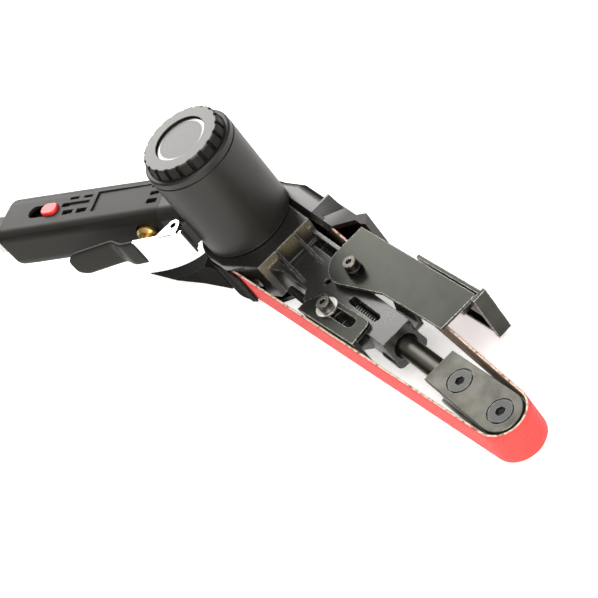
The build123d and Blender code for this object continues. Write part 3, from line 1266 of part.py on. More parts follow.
def save(name, pieces):
    """Writes one node: a single solid, or a group of like solids."""
    solids = pieces if isinstance(pieces, list) else [pieces]
    bodies = [solid for piece in solids for solid in piece.solids()]
    whole = bodies[0] if len(bodies) == 1 else Compound(children=bodies)
    export_step(whole, f"parts/{name}.step")


NODES = {
    "motor_housing": make_motor_housing,
    "motor_cap": make_motor_cap,
    "cap_seal": make_cap_seal,
    "cap_disc": make_cap_disc,
    "cylinder_liner": make_liner,
    "front_end_plate": make_front_plate,
    "rear_end_plate": make_rear_plate,
    "front_bearing": lambda: make_bearing(BEARING_FRONT),
    "rear_bearing": lambda: make_bearing(BEARING_REAR),
    "swivel_retainer": make_swivel_retainer,
    "retainer_screws": make_retainer_screws,
    "handle_grip": make_grip,
    "grip_screw": make_grip_screw,
    "exhaust_silencer": make_silencer,
    "inlet_bushing": make_inlet_bushing,
    "inlet_screen": make_inlet_screen,
    "valve_bush": make_valve_bush,
    "lever_pin": make_lever_pin,
    "rotor": make_rotor,
    "rotor_vanes": make_vanes,
    "drive_pulley": make_drive_pulley,
    "pulley_nut": make_pulley_nut,
    "throttle_lever": make_lever,
    "lever_grip": make_lever_grip,
    "valve_stem": make_valve_stem,
    "valve_spring": make_valve_spring,
    "regulator_slide": make_regulator,
    "arm_casting": make_arm,
    "pulley_housing": make_pulley_housing,
    "housing_screws": make_housing_screws,
    "abrasive_belt": make_belt,
    "tension_spring": make_tension_spring,
    "spring_plug": make_spring_plug,
    "plug_screw": make_plug_screw,
    "guard_bolt": make_guard_bolt,
    "guard_washer": make_guard_washer,
    "guard_spacer": make_guard_spacer,
    "platen_bolt": make_platen_bolt,
    "platen_washer": make_platen_washer,
    "tension_rod": make_tension_rod,
    "tip_block": make_tip_block,
    "tip_plate_near": make_near_plate,
    "tip_plate_far": lambda: mirrored(make_near_plate()),
    "tip_screws": make_tip_screws,
    "roller_axle": make_roller_axle,
    "tip_roller": make_tip_roller,
    "roller_bush": make_roller_bush,
    "belt_guard": make_guard,
    "guard_hood": make_hood,
    "hood_screws": make_hood_screws,
    "platen_bracket": make_platen,
    "tracking_screw": make_tracking_screw,
}

for node, make in NODES.items():
    save(node, make())
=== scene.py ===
# %% [markdown]
# # An air belt sander, dressed in Blender
#
# The solids of this tool come ready made and in place, in metres: Z runs up the motor's axis and
# X along the arm to the tip. This lesson adds what the solids lack. It sets a camera and
# a pale studio, writes each finish as a formula, and remakes the few pieces that are soft, rough
# or springy: the abrasive belt, the dipped finger end of the throttle lever and two coil springs.

# %% Load the solids and keep their box
import json
import math

import bpy
import numpy as np
from mathutils import Matrix, Vector


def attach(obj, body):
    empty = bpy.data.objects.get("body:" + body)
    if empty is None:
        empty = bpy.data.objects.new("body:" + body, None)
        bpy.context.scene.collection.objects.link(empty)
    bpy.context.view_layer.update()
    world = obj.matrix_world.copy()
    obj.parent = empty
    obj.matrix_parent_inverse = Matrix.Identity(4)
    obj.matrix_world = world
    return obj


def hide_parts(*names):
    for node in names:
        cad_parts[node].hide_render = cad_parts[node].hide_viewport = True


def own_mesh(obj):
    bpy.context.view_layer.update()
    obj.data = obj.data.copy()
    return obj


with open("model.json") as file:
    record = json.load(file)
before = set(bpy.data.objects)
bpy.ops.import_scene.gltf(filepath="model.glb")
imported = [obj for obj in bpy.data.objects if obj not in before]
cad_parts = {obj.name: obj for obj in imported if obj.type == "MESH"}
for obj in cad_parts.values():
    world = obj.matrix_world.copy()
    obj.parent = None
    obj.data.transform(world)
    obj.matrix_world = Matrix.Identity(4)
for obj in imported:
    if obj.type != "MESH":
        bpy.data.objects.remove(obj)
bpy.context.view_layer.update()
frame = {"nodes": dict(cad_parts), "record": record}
nodes = frame["nodes"]
mm = 0.001

# %% [markdown]
# ## Camera
#
# The photo was taken from above the tip, looking back at the motor, with the camera rolled by
# about forty degrees so that the tool runs down the picture from left to right. A place, a viewing
# direction and a roll say that, which is easier to adjust than a rotation.

# %% Place the camera
CAMERA_PLACE = Vector((0.62998, -0.08610, 0.48663))
CAMERA_VIEW = Vector((-0.77000, 0.09765, -0.63053))
CAMERA_ROLL = math.radians(40.361)
PICTURE_WIDTH = 598
FOCAL_PIXELS = 1600

camera_data = bpy.data.cameras.new("camera")
camera_data.sensor_width = 36
camera_data.lens = camera_data.sensor_width * FOCAL_PIXELS / PICTURE_WIDTH
camera_data.clip_start, camera_data.clip_end = 0.01, 50
camera = bpy.data.objects.new("camera", camera_data)
bpy.context.scene.collection.objects.link(camera)
level = CAMERA_VIEW.to_track_quat("-Z", "Y").to_matrix().to_4x4()
camera.matrix_world = Matrix.Translation(CAMERA_PLACE) @ level @ Matrix.Rotation(-CAMERA_ROLL, 4, "Z")
bpy.context.scene.camera = camera
print("lens", round(camera_data.lens, 1), "mm")

# %% [markdown]
# ## Studio
#
# The tool lies on a white sheet in bright, soft light: the sheet is almost burnt out and the
# shadows are faint. A window stands behind the motor, where level faces mirror it towards the
# camera, so black plastic shows pale tops and dark sides. A large lamp hangs overhead, and a warm
# one fills in from beyond the tip. The sheet itself glows a little, which keeps it pale under the
# tool, and the world is brightest behind the motor and above.

# %% Floor, lamps and sky
bpy.context.scene.view_settings.view_transform = "Standard"
FLOOR_HALF = 6.0


def mesh_piece(name, points, faces):
    """Object at the origin from an array of points and a list of faces."""
    mesh = bpy.data.meshes.new(name)
    mesh.from_pydata(points.tolist(), [], faces)
    mesh.update()
    piece = bpy.data.objects.new(name, mesh)
    bpy.context.scene.collection.objects.link(piece)
    return piece


corner = FLOOR_HALF * np.array([(-1, -1, 0), (1, -1, 0), (1, 1, 0), (-1, 1, 0)], float)
floor = mesh_piece("floor", corner, [(0, 1, 2, 3)])


def lamp(name, place, aim, size, watts, colour):
    """Square area lamp at a place, facing an aim."""
    data = bpy.data.lights.new(name, "AREA")
    data.shape, data.size, data.energy, data.color = "SQUARE", size, watts, colour
    piece = bpy.data.objects.new(name, data)
    piece.location = place
    piece.rotation_euler = (Vector(aim) - Vector(place)).to_track_quat("-Z", "Y").to_euler()
    bpy.context.scene.collection.objects.link(piece)
    print("lamp", name, watts, "watts")


MOTOR_FOOT, ARM_MIDDLE = (0.02, 0, 0.04), (0.06, 0, 0.02)
lamp("window", (-1.35, 0.15, 0.80), MOTOR_FOOT, size=0.8, watts=15, colour=(1.0, 0.985, 0.96))
lamp("overhead", (0.42, 0.12, 1.45), ARM_MIDDLE, size=1.5, watts=15, colour=(1.0, 1.0, 1.0))
lamp("fill", (1.0, -0.40, 0.36), ARM_MIDDLE, size=0.7, watts=13, colour=(1.0, 0.94, 0.84))

world = bpy.data.worlds.new("sky")
bpy.context.scene.world = world
world.use_nodes = True

# %% [markdown]
# ## Shader maths
#
# A finish is easier to read as a formula than as a drawing of boxes. `Sum` wraps one output
# socket; adding, subtracting or multiplying two of them adds a Math node. Every other node comes
# from `node`, which takes the node's type, its settings and its inputs.

# %% A socket that can be used in formulas


class Sum:
    """An output socket of a node tree, usable in formulas."""

    def __init__(self, tree, socket):
        self.tree = tree
        self.socket = socket

    def node(self, kind, settings, inputs, out=0):
        """Adds a node: its settings first, then its inputs by name or place."""
        made = self.tree.nodes.new(kind)
        for name, value in settings.items():
            setattr(made, name, value)
        for name, value in inputs.items():
            if isinstance(value, Sum):
                self.tree.links.new(value.socket, made.inputs[name])
            else:
                made.inputs[name].default_value = value
        return Sum(self.tree, made.outputs[out]) if made.outputs else made

    def maths(self, operation, first, second):
        return self.node("ShaderNodeMath", {"operation": operation}, {0: first, 1: second})

    def __add__(self, other):
        return self.maths("ADD", self, other)

    def __sub__(self, other):
        return self.maths("SUBTRACT", self, other)

    def __rsub__(self, other):
        return self.maths("SUBTRACT", other, self)

    def __mul__(self, other):
        return self.maths("MULTIPLY", self, other)

    __radd__ = __add__
    __rmul__ = __mul__

    def between(self, low, high):
        """0 below low, 1 above high, smooth between them."""
        settings = {"interpolation_type": "SMOOTHSTEP"}
        return self.node("ShaderNodeMapRange", settings, {"Value": self, "From Min": low, "From Max": high})


# %% [markdown]
# ## Parts that finishes share
#
# Most surfaces here need the same things: a noise at a chosen grain size, a mask for worn edges,
# a mix of two colours, a relief, and the final shader. The edge mask compares the true normal with
# a softened one: on a flat they agree, and at a corner they part.

# %% Finish: one material and its helpers


class Finish:
    """A material under construction: coordinates in metres, patterns, and the shader they feed."""

    def __init__(self, name):
        self.material = bpy.data.materials.new(name)
        self.material.use_nodes = True
        self.tree = self.material.node_tree
        self.tree.nodes.clear()
        start = self.tree.nodes.new("ShaderNodeTexCoord")
        self.place = Sum(self.tree, start.outputs["Object"])

    def node(self, kind, settings, inputs, out=0):
        return self.place.node(kind, settings, inputs, out)

    def axis(self, letter):
        """One coordinate of the place, in metres."""
        return self.node("ShaderNodeSeparateXYZ", {}, {"Vector": self.place}, letter)

    def stretched(self, factors):
        """Coordinates stretched along each axis, for brushed or drawn patterns."""
        return self.node("ShaderNodeMapping", {}, {"Vector": self.place, "Scale": factors})

    def noise(self, grain, detail=3.0, at=None):
        """Cloudy pattern from 0 to 1 with lumps about as large as the grain, in metres."""
        inputs = {"Vector": at or self.place, "Scale": 1 / grain, "Detail": detail, "Roughness": 0.55}
        return self.node("ShaderNodeTexNoise", {}, inputs)

    def cells(self, grain, out="Distance"):
        """Grains: the distance to the nearest centre, or a random colour of each grain."""
        return self.node("ShaderNodeTexVoronoi", {}, {"Vector": self.place, "Scale": 1 / grain}, out)

    def edges(self, radius):
        """1 at sharp corners and 0 on flats."""
        soft = self.node("ShaderNodeBevel", {"samples": 4}, {"Radius": radius})
        true = self.node("ShaderNodeNewGeometry", {}, {}, "Normal")
        agree = self.node("ShaderNodeVectorMath", {"operation": "DOT_PRODUCT"}, {0: soft, 1: true}, "Value")
        return (1 - agree).between(0.01, 0.16)

    def mixed(self, share, first, second):
        """Colour between two colours, which a Mix node takes at places 6 and 7 and gives at 2."""
        inputs = {0: share, 6: first, 7: second}
        return self.node("ShaderNodeMix", {"data_type": "RGBA"}, inputs, 2)

    def bump(self, height, depth, strength=1.0, under=None):
        """Normal with a relief of the given depth in metres."""
        inputs = {"Height": height, "Distance": depth, "Strength": strength}
        if under:
            inputs["Normal"] = under
        return self.node("ShaderNodeBump", {}, inputs)

    def soft_corners(self, radius):
        """Normal that rounds the sharp corners of a solid."""
        return self.node("ShaderNodeBevel", {"samples": 4}, {"Radius": radius})

    def done(self, **inputs):
        """Feeds the shader, by the names of its sockets with _ for a space."""
        named = {name.replace("_", " "): value for name, value in inputs.items()}
        shader = self.node("ShaderNodeBsdfPrincipled", {}, named)
        self.node("ShaderNodeOutputMaterial", {}, {"Surface": shader})
        print("finish", self.material.name, len(self.tree.nodes), "nodes")
        return self.material


def grey(value):
    return (value, value, value, 1)


def soot(value):
    """Black with a trace of olive, as the photo's blacks are."""
    return (value, value * 0.98, value * 0.86, 1)


def colour(red, green, blue):
    return (red, green, blue, 1)


# %% Floor and sky finishes
sheet = Finish("white_sheet")
sheet_tone = sheet.mixed(sheet.noise(0.3, 2.0), grey(0.90), grey(0.94))
sheet_glow = colour(1.0, 0.985, 0.97)
floor.data.materials.append(sheet.done(
    Base_Color=sheet_tone, Roughness=0.55, Specular_IOR_Level=0.3,
    Emission_Color=sheet_glow, Emission_Strength=0.52,
))

world.node_tree.nodes.clear()
sky_start = world.node_tree.nodes.new("ShaderNodeTexCoord")
sky_ray = Sum(world.node_tree, sky_start.outputs["Generated"])
height = sky_ray.node("ShaderNodeSeparateXYZ", {}, {"Vector": sky_ray}, "Z")
backdrop = (-0.98, 0.18, 0.05)
facing = {0: sky_ray, 1: backdrop}
behind = sky_ray.node("ShaderNodeVectorMath", {"operation": "DOT_PRODUCT"}, facing, "Value")
sky_light = 0.10 + 0.5 * height.between(0.15, 0.9) + 0.75 * behind.between(0.35, 0.95)
sky = sky_ray.node("ShaderNodeBackground", {}, {"Color": (1.0, 0.975, 0.94, 1), "Strength": sky_light})
sky_ray.node("ShaderNodeOutputWorld", {}, {"Surface": sky})

# %% [markdown]
# ## Black finishes
#
# Seven blacks lie side by side on this tool, and they differ in gloss and grain more than in
# tone: the satin motor can, the spark-grained cap, the handle, the smoother pulley housing, the
# painted casting, the dipped lever and the rubber seal. Each gets its own grain size and its own
# gloss, and some get a formula for where hands and work have rubbed them glossy.

# %% Blacks


def slightly_rounded(finish):
    """Formula for the rounding of a moulding's corners."""
    return 0.35 * mm


WORN_REACH, WORN_TONE = 0.5 * mm, 0.05
CLOUD_SIZE, CHIP_SIZE = 20 * mm, 1.5 * mm
# Paler olive tone, painted on the casting's bay walls as a highlight.
PAINTED_SHEEN_TONE = colour(0.095, 0.083, 0.055)


def moulded(
    name, tone, gloss, grain, depth, wear, mirror,
    matt=0.0, rubbed=None, round_off=slightly_rounded, painted_sheen=None, edge=(WORN_REACH, WORN_TONE),
):
    """Moulded or painted black: a fine grain in the relief, and slightly paler, rounded corners.

    Mirror is the strength of reflection. Rubbed is a formula for where the piece is rubbed glossy,
    and matt is how much rougher it is than gloss elsewhere. Round_off is a formula for the radius
    of its corners. A further formula, if given, says where a paler olive tone is painted on as a
    painted highlight. Edge is how far the paler corners reach, and their tone: worn corners, and
    where wide and pale, as on the casting, a painted highlight as well.
    """
    finish = Finish(name)
    spark = finish.noise(grain, 2.0)
    cloud = finish.noise(CLOUD_SIZE, 3.0)
    reach, paler = edge
    corner = finish.edges(reach)
    base = finish.mixed(cloud, soot(tone * 0.8), soot(tone * 1.25))
    # Painted highlight: a paler olive tone mixed in where the formula says.
    if painted_sheen:
        base = finish.mixed(painted_sheen(finish), base, PAINTED_SHEEN_TONE)
    chipped = finish.noise(CHIP_SIZE).between(0.35, 0.65)
    # Paler corners: wear, and where the reach is wide and the tone pale, as on the casting, a painted
    # highlight too.
    worn_and_highlit = finish.mixed(corner * wear * chipped, base, grey(paler))
    rough = gloss + matt + 0.12 * (cloud - 0.5) + 0.08 * (spark - 0.5)
    relief = finish.bump(spark, depth, 1.0, finish.soft_corners(round_off(finish)))
    coat = rubbed(finish) if rubbed else 0.0
    return finish.done(
        Base_Color=worn_and_highlit, Roughness=rough, Normal=relief, Specular_IOR_Level=mirror,
        Coat_Weight=coat, Coat_Roughness=gloss, Coat_IOR=1.6,
    )


def top_of(node):
    """Greatest height of a solid."""
    return max(corner[2] for corner in nodes[node].bound_box)


def from_height(height, amount):
    """Formula that rubs a piece from a height up."""
    return lambda finish: amount * finish.axis("Z").between(height - 0.9 * mm, height - 0.2 * mm)


DOME_FRONT, SHELF_START, SHELF_END = 30 * mm, 36 * mm, 50 * mm
SEAT_FRONT, SEAT_WALL_END, ARM_START = 33 * mm, 34 * mm, 42 * mm
BAY_FLOOR, BAY_TOP = 17 * mm, 27 * mm
SEAM_LOW, SEAM_HIGH = 29.7 * mm, 30.3 * mm
GRIP_TOP = 57.8 * mm


def rubbed_housing(finish):
    """The dome's level roof is rubbed glossy, and so is what lies before it, less towards the tip."""
    roof = from_height(top_of("pulley_housing"), 1.0)(finish)
    along = finish.axis("X")
    shelf = 1 - 0.6 * along.between(SHELF_START, SHELF_END)
    return finish.place.maths("MAXIMUM", roof, along.between(DOME_FRONT, DOME_FRONT + 3 * mm) * shelf)


def rounded_by_motor(finish):
    """The casting's corners are well rounded beside the motor and crisp along the arm."""
    return 0.6 * mm + 0.6 * mm * (1 - finish.axis("X").between(ARM_START, ARM_START + 8 * mm))


def painted_bay_sheen(finish):
    """Painted highlight: a paler tone on the front of the motor's seat, between the ribs, fading out
    downwards.
    """
    along = finish.axis("X")
    from_seat = along.between(SEAT_FRONT, SEAT_FRONT + 0.4 * mm)
    to_arm = 1 - along.between(SEAT_WALL_END, SEAT_WALL_END + 1.5 * mm)
    return from_seat * to_arm * finish.axis("Z").between(BAY_FLOOR, BAY_TOP)


def rubbed_seam(finish):
    """The lower edge of the motor can is rubbed in a thin ring just above its bevel."""
    height = finish.axis("Z")
    above = height.between(SEAM_LOW, SEAM_LOW + 0.2 * mm)
    return above * (1 - height.between(SEAM_HIGH, SEAM_HIGH + 0.2 * mm))


can_finish = moulded(
    "satin_can", tone=0.007, gloss=0.46, grain=0.35 * mm, depth=0.012 * mm, wear=0.4, mirror=0.38,
    rubbed=rubbed_seam,
)
cap_finish = moulded(
    "grained_cap", tone=0.009, gloss=0.44, grain=0.5 * mm, depth=0.03 * mm, wear=0.4, mirror=0.10,
    rubbed=from_height(top_of("motor_cap"), 0.9),
)
grip_finish = moulded(
    "grip_plastic", tone=0.012, gloss=0.46, grain=0.6 * mm, depth=0.02 * mm, wear=0.35, mirror=0.08,
    rubbed=from_height(GRIP_TOP, 0.23),
)
housing_finish = moulded(
    "housing_plastic", tone=0.005, gloss=0.34, grain=0.5 * mm, depth=0.012 * mm, wear=0.7, mirror=0.06,
    matt=0.45, rubbed=rubbed_housing, edge=(0.5 * mm, 0.11),
)
# The casting's corners are paler over a wide reach: worn paint, and a painted highlight along the rib tops.
cast_finish = moulded(
    "painted_casting", tone=0.008, gloss=0.29, grain=0.9 * mm, depth=0.006 * mm, wear=1.0, mirror=1.0,
    round_off=rounded_by_motor, painted_sheen=painted_bay_sheen, edge=(1.1 * mm, 0.17),
)
dip_finish = moulded(
    "dipped_vinyl", tone=0.012, gloss=0.40, grain=2.5 * mm, depth=0.06 * mm, wear=0.1, mirror=0.12,
)
rubber_finish = moulded(
    "seal_rubber", tone=0.008, gloss=0.6, grain=0.4 * mm, depth=0.01 * mm, wear=0.1, mirror=0.5,
)

# %% [markdown]
# ## Steels
#
# The guard, tip plates and platen are phosphated sheet: a dark grey-green, cloudy film that is
# rubbed through to bare steel along the edges. Screws are black oxide with bright corners, the
# rod is turned, and the lever's root is bright chrome.

# %% Steels
# Paler film mixed in towards the tip: painted light.
TIP_LIGHT_FILM = colour(0.37, 0.35, 0.31)
FILM_CLOUD_SIZE, BRUSH_SIZE, RUB_SIZE = 9 * mm, 0.25 * mm, 1.2 * mm
RUB_REACH, STEEL_CORNER = 0.7 * mm, 0.25 * mm


def steel(name, tone, shine, gloss, cloudiness, wear, streak=None, painted_light_from=None):
    """Metal with a cloudy film, an optional direction of brushing, and corners rubbed bright.

    Beyond a given place along the arm a paler film is mixed in, in clouds: painted light on the tip.
    There the corners are rubbed less.
    """
    finish = Finish(name)
    cloud = finish.noise(FILM_CLOUD_SIZE, 4.0)
    fine = finish.noise(BRUSH_SIZE, 2.0, finish.stretched(streak) if streak else None)
    corner = finish.edges(RUB_REACH)
    rubbed = corner * wear * finish.noise(RUB_SIZE).between(0.3, 0.6)
    patches = cloud.between(0.3, 0.7)
    film = finish.mixed(cloudiness * patches, tone, colour(*(1.35 * c for c in tone[:3])))
    # Painted light: past this place a paler film is mixed in, in clouds, where more light falls on the tip.
    if painted_light_from:
        thin = finish.axis("X").between(painted_light_from, painted_light_from + 12 * mm)
        film = finish.mixed(thin * (0.13 + 0.13 * patches), film, TIP_LIGHT_FILM)
        rubbed = rubbed * (1 - 0.75 * thin)
    base = finish.mixed(rubbed, film, shine)
    rough = gloss + 0.25 * cloudiness * (cloud - 0.5) + 0.10 * (fine - 0.5) + 0.3 * rubbed
    relief = finish.bump(fine, 0.006 * mm, 0.6, finish.soft_corners(STEEL_CORNER))
    return finish.done(Base_Color=base, Roughness=rough, Metallic=1.0, Normal=relief)


BARE = colour(0.36, 0.35, 0.33)
TIP_PLATE_BACK = 155 * mm
# The sheet is painted paler past the tip plate's back: painted light on the tip.
sheet_steel = steel(
    "phosphated_sheet", colour(0.036, 0.038, 0.033), colour(0.72, 0.71, 0.67),
    gloss=0.35, cloudiness=1.0, wear=1.0, streak=(1, 4, 4), painted_light_from=TIP_PLATE_BACK,
)
# The tip's screws are black oxide painted paler than the other screws: painted light on the tip.
tip_oxide_painted_light = steel(
    "tip_screw_oxide_painted_light", colour(0.082, 0.084, 0.084), BARE,
    gloss=0.36, cloudiness=0.5, wear=0.5,
)
oxide_steel = steel(
    "black_oxide", colour(0.018, 0.018, 0.019), BARE,
    gloss=0.4, cloudiness=0.4, wear=0.4,
)
bolt_steel = steel(
    "oiled_bolt", colour(0.085, 0.079, 0.071), colour(0.6, 0.57, 0.52),
    gloss=0.32, cloudiness=0.6, wear=0.9,
)
rod_steel = steel(
    "turned_rod", colour(0.105, 0.101, 0.090), BARE,
    gloss=0.33, cloudiness=0.4, wear=0.4, streak=(0.05, 2, 2),
)
bright_steel = steel(
    "machined_steel", colour(0.45, 0.44, 0.42), colour(0.75, 0.74, 0.72),
    gloss=0.28, cloudiness=0.3, wear=0.5, streak=(2, 2, 0.1),
)
zinc_steel = steel(
    "zinc_washer", colour(0.72, 0.71, 0.68), colour(0.9, 0.9, 0.88),
    gloss=0.3, cloudiness=0.3, wear=0.4,
)
spring_wire = steel(
    "spring_wire", colour(0.15, 0.15, 0.14), BARE,
    gloss=0.3, cloudiness=0.3, wear=0.2,
)
chrome = steel(
    "bright_chrome", colour(0.80, 0.80, 0.80), colour(0.9, 0.9, 0.9),
    gloss=0.10, cloudiness=0.15, wear=0.2,
)
ground_iron = steel(
    "ground_iron", colour(0.12, 0.12, 0.12), BARE,
    gloss=0.4, cloudiness=0.5, wear=0.3,
)
turned_light = steel(
    "turned_aluminium", colour(0.5, 0.5, 0.5), colour(0.7, 0.7, 0.7),
    gloss=0.35, cloudiness=0.3, wear=0.3,
)
brass = steel(
    "machined_brass", colour(0.80, 0.55, 0.19), colour(0.9, 0.7, 0.35),
    gloss=0.32, cloudiness=0.3, wear=0.3,
)
bronze = steel(
    "sintered_bronze", colour(0.38, 0.22, 0.10), colour(0.6, 0.4, 0.2),
    gloss=0.45, cloudiness=0.6, wear=0.2,
)

# %% [markdown]
# ## The disc in the cap
#
# The disc is spun metal: its brush marks are rings. A noise read along the distance from the axis
# alone gives such rings, and a brighter band runs round the rim.

# %% Spun disc
RIM_START = 11.6 * mm
disc = Finish("spun_disc")
flat = disc.node("ShaderNodeVectorMath", {"operation": "MULTIPLY"}, {0: disc.place, 1: (1, 1, 0)})
from_axis = disc.node("ShaderNodeVectorMath", {"operation": "LENGTH"}, {0: flat}, "Value")
ring_place = disc.node("ShaderNodeCombineXYZ", {}, {"X": from_axis})
rings = disc.noise(0.5 * mm, 2.0, ring_place)
spun = disc.mixed(rings.between(0.3, 0.7), grey(0.038), grey(0.066))
disc_tone = disc.mixed(from_axis.between(RIM_START, RIM_START + 0.3 * mm), spun, grey(0.20))
disc_metal = disc.done(
    Base_Color=disc_tone, Roughness=0.26 + 0.10 * rings, Metallic=1.0, Normal=disc.bump(rings, 0.004 * mm),
)

# %% [markdown]
# ## Small pieces that are not metal
#
# The speed slide is red plastic, the vanes are brown resin and the silencer is pressed felt. They
# are small or hidden, so two tones in a noise, with a relief from the same noise, are enough.

# %% Small plastics and felt


def plain_piece(name, first, second, gloss, grain, depth):
    """Non-metal with two tones at a chosen grain."""
    finish = Finish(name)
    pattern = finish.noise(grain, 4.0)
    relief = finish.bump(pattern, depth, 1.0, finish.soft_corners(0.3 * mm))
    return finish.done(Base_Color=finish.mixed(pattern, first, second), Roughness=gloss, Normal=relief)


red_finish = plain_piece(
    "red_slide", colour(0.50, 0.012, 0.012), colour(0.62, 0.02, 0.02),
    gloss=0.35, grain=0.6 * mm, depth=0.01 * mm,
)
felt_finish = plain_piece(
    "pressed_felt", colour(0.14, 0.135, 0.12), colour(0.3, 0.29, 0.26),
    gloss=0.95, grain=0.4 * mm, depth=0.2 * mm,
)
resin_finish = plain_piece(
    "vane_resin", colour(0.16, 0.08, 0.03), colour(0.25, 0.14, 0.06),
    gloss=0.4, grain=0.5 * mm, depth=0.01 * mm,
)

# %% [markdown]
# ## Which solid wears which finish
#
# The record of the part names a material slot for each solid. One table turns those slots into
# finishes, so two solids of one slot always match.

# %% Dress the solids
FINISHES = {
    "motor_black": can_finish, "cap_black": cap_finish, "grip_plastic": grip_finish,
    "cover_black": housing_finish, "cast_black": cast_finish, "dip_vinyl": dip_finish,
    "seal_rubber": rubber_finish, "blued_steel": sheet_steel, "tip_screw_steel": tip_oxide_painted_light,
    "dark_steel": oxide_steel, "bolt_steel": bolt_steel, "rod_steel": rod_steel,
    "bright_steel": bright_steel, "washer_zinc": zinc_steel, "spring_steel": spring_wire,
    "chrome": chrome, "disc_metal": disc_metal, "liner_iron": ground_iron,
    "pulley_metal": turned_light, "brass": brass, "bronze": bronze, "red_plastic": red_finish,
    "felt": felt_finish, "vane_resin": resin_finish,
}
for subpart in frame["record"]["subparts"]:
    finish = FINISHES.get(subpart["material_slot"])
    if finish:
        data = nodes[subpart["node"]].data
        data.materials.clear()
        data.materials.append(finish)
print("slots dressed:", len(FINISHES))

# %% [markdown]
# ## The abrasive belt
#
# The belt is a loop of cloth, 19 mm wide, with red grit glued to its outer side; its cut edges show
# pale, slightly frayed threads, and its inner side is bare tan cloth. The loop is two straight
# runs and two arcs. The surface is a cross-section carried along that line, with a fresh
# random step at each place along the two edges, so no two threads end alike.

# %% Belt line and surface
DRIVE_RADIUS, TIP_RADIUS, SPAN = 24.0 * mm, 10.9 * mm, 203.0 * mm
BELT_THICKNESS, BELT_WIDTH, BELT_MIDDLE = 1.2 * mm, 19.0 * mm, 15.0 * mm
LEAN = math.asin((DRIVE_RADIUS - TIP_RADIUS) / SPAN)
BELT_STEPS, THREAD_SEED = 1040, 11


def belt_line(steps):
    """Points and outward directions round the loop's middle line at equal steps, and its length.

    The length from the start picks a stretch: the working run, the arc about the tip, the return
    run, or the arc about the drive. On a run the outward direction stays and the point slides
    along; on an arc the direction turns evenly and the point is centre plus radius times direction.
    """
    drive, tip = DRIVE_RADIUS + BELT_THICKNESS / 2, TIP_RADIUS + BELT_THICKNESS / 2
    run = SPAN * math.cos(LEAN)
    arc_tip, arc_drive = tip * (math.pi - 2 * LEAN), drive * (math.pi + 2 * LEAN)
    ends = np.cumsum([run, arc_tip, run, arc_drive])
    s = np.arange(steps) * ends[-1] / steps
    stretches = [s < ends[0], s < ends[1], s < ends[2]]
    low, high = -math.pi / 2 + LEAN, math.pi / 2 - LEAN
    turn = np.select(
        stretches,
        [np.full(steps, low), low + (s - ends[0]) / tip, np.full(steps, high)],
        high + (s - ends[2]) / drive,
    )
    out = np.stack([np.cos(turn), np.sin(turn)], 1)
    along = np.select(stretches, [s / run, np.ones(steps), (ends[2] - s) / run], 0.0)
    radius = drive + (tip - drive) * along
    centre = np.stack([SPAN * along, np.zeros(steps)], 1)
    return centre + radius[:, None] * out, out, ends[-1]


def make_belt():
    """Cross-section of twelve points, from the outer face round both edges, carried along the loop."""
    steps = BELT_STEPS
    line, out, length = belt_line(steps)
    half, wide = BELT_THICKNESS / 2, BELT_WIDTH / 2
    across = np.array([-1, -0.97, -0.5, 0, 0.5, 0.97, 1, 1, 0.97, 0, -0.97, -1]) * wide
    depth = np.array([0.7, 1, 1, 1, 1, 1, 0.7, -0.8, -1, -1, -1, -0.8]) * half
    around = len(across)
    rng = np.random.default_rng(THREAD_SEED)
    at_edge = np.where(np.abs(across) > 0.99 * wide, 1.0, 0.0)[None, :]
    fray = at_edge * rng.uniform(-0.16, 0.02, (steps, around)) * mm
    z = BELT_MIDDLE + across[None, :] + np.sign(across)[None, :] * fray
    lump = rng.normal(0, 0.012, (steps, around)) * mm * (depth > 0)[None, :]
    offset = depth[None, :] + lump
    x = line[:, :1] + out[:, :1] * offset
    y = line[:, 1:] + out[:, 1:] * offset
    points = np.stack([x, y, z], 2).reshape(-1, 3)
    row, column = np.meshgrid(np.arange(steps) * around, np.arange(around), indexing="ij")
    after, beside = (row + around) % (steps * around), (column + 1) % around
    faces = np.stack([row + column, after + column, after + beside, row + beside], 2)
    piece = mesh_piece("abrasive_belt_cloth", points, faces.reshape(-1, 4).tolist())
    side = np.array([0, 0, 0, 0, 0, 0, 1, 2, 2, 2, 2, 1])
    piece.data.polygons.foreach_set("material_index", np.tile(side, steps).astype(np.int32))
    piece.data.polygons.foreach_set("use_smooth", np.ones(steps * around, bool))
    print("belt length", round(length / mm, 1), "mm")
    return piece


belt = make_belt()

# %% [markdown]
# ## Grit, cut edge and backing
#
# Coral red grit: each grain is a small cell with its own shade, and gaps between cells are deeper
# and darker. The cut edge is pale cotton. The backing is a twill of tan threads, drawn with two
# crossed waves.

# %% Belt finishes
GRIT_SIZE, WEAVE_SCALE = 0.30 * mm, 320.0
grit = Finish("red_grit")
grain_shade = grit.cells(GRIT_SIZE, "Color")
grain_gap = grit.cells(GRIT_SIZE)
shade = grit.node("ShaderNodeSeparateColor", {}, {"Color": grain_shade}, "Red")
cloud = grit.noise(7 * mm, 3.0)
dark_red = grit.mixed(cloud, colour(0.42, 0.014, 0.014), colour(0.55, 0.0225, 0.022))
clump = grit.noise(1.1 * mm, 3.0).between(0.35, 0.65)
grit_tone = grit.mixed(shade * 0.4 + clump * 0.35, dark_red, colour(0.74, 0.050, 0.040))
grit_relief = grit.bump(1 - grain_gap * 1.4, 0.10 * mm, 0.9)
belt.data.materials.append(grit.done(
    Base_Color=grit_tone, Roughness=0.62, Normal=grit_relief, Specular_IOR_Level=0.45,
))

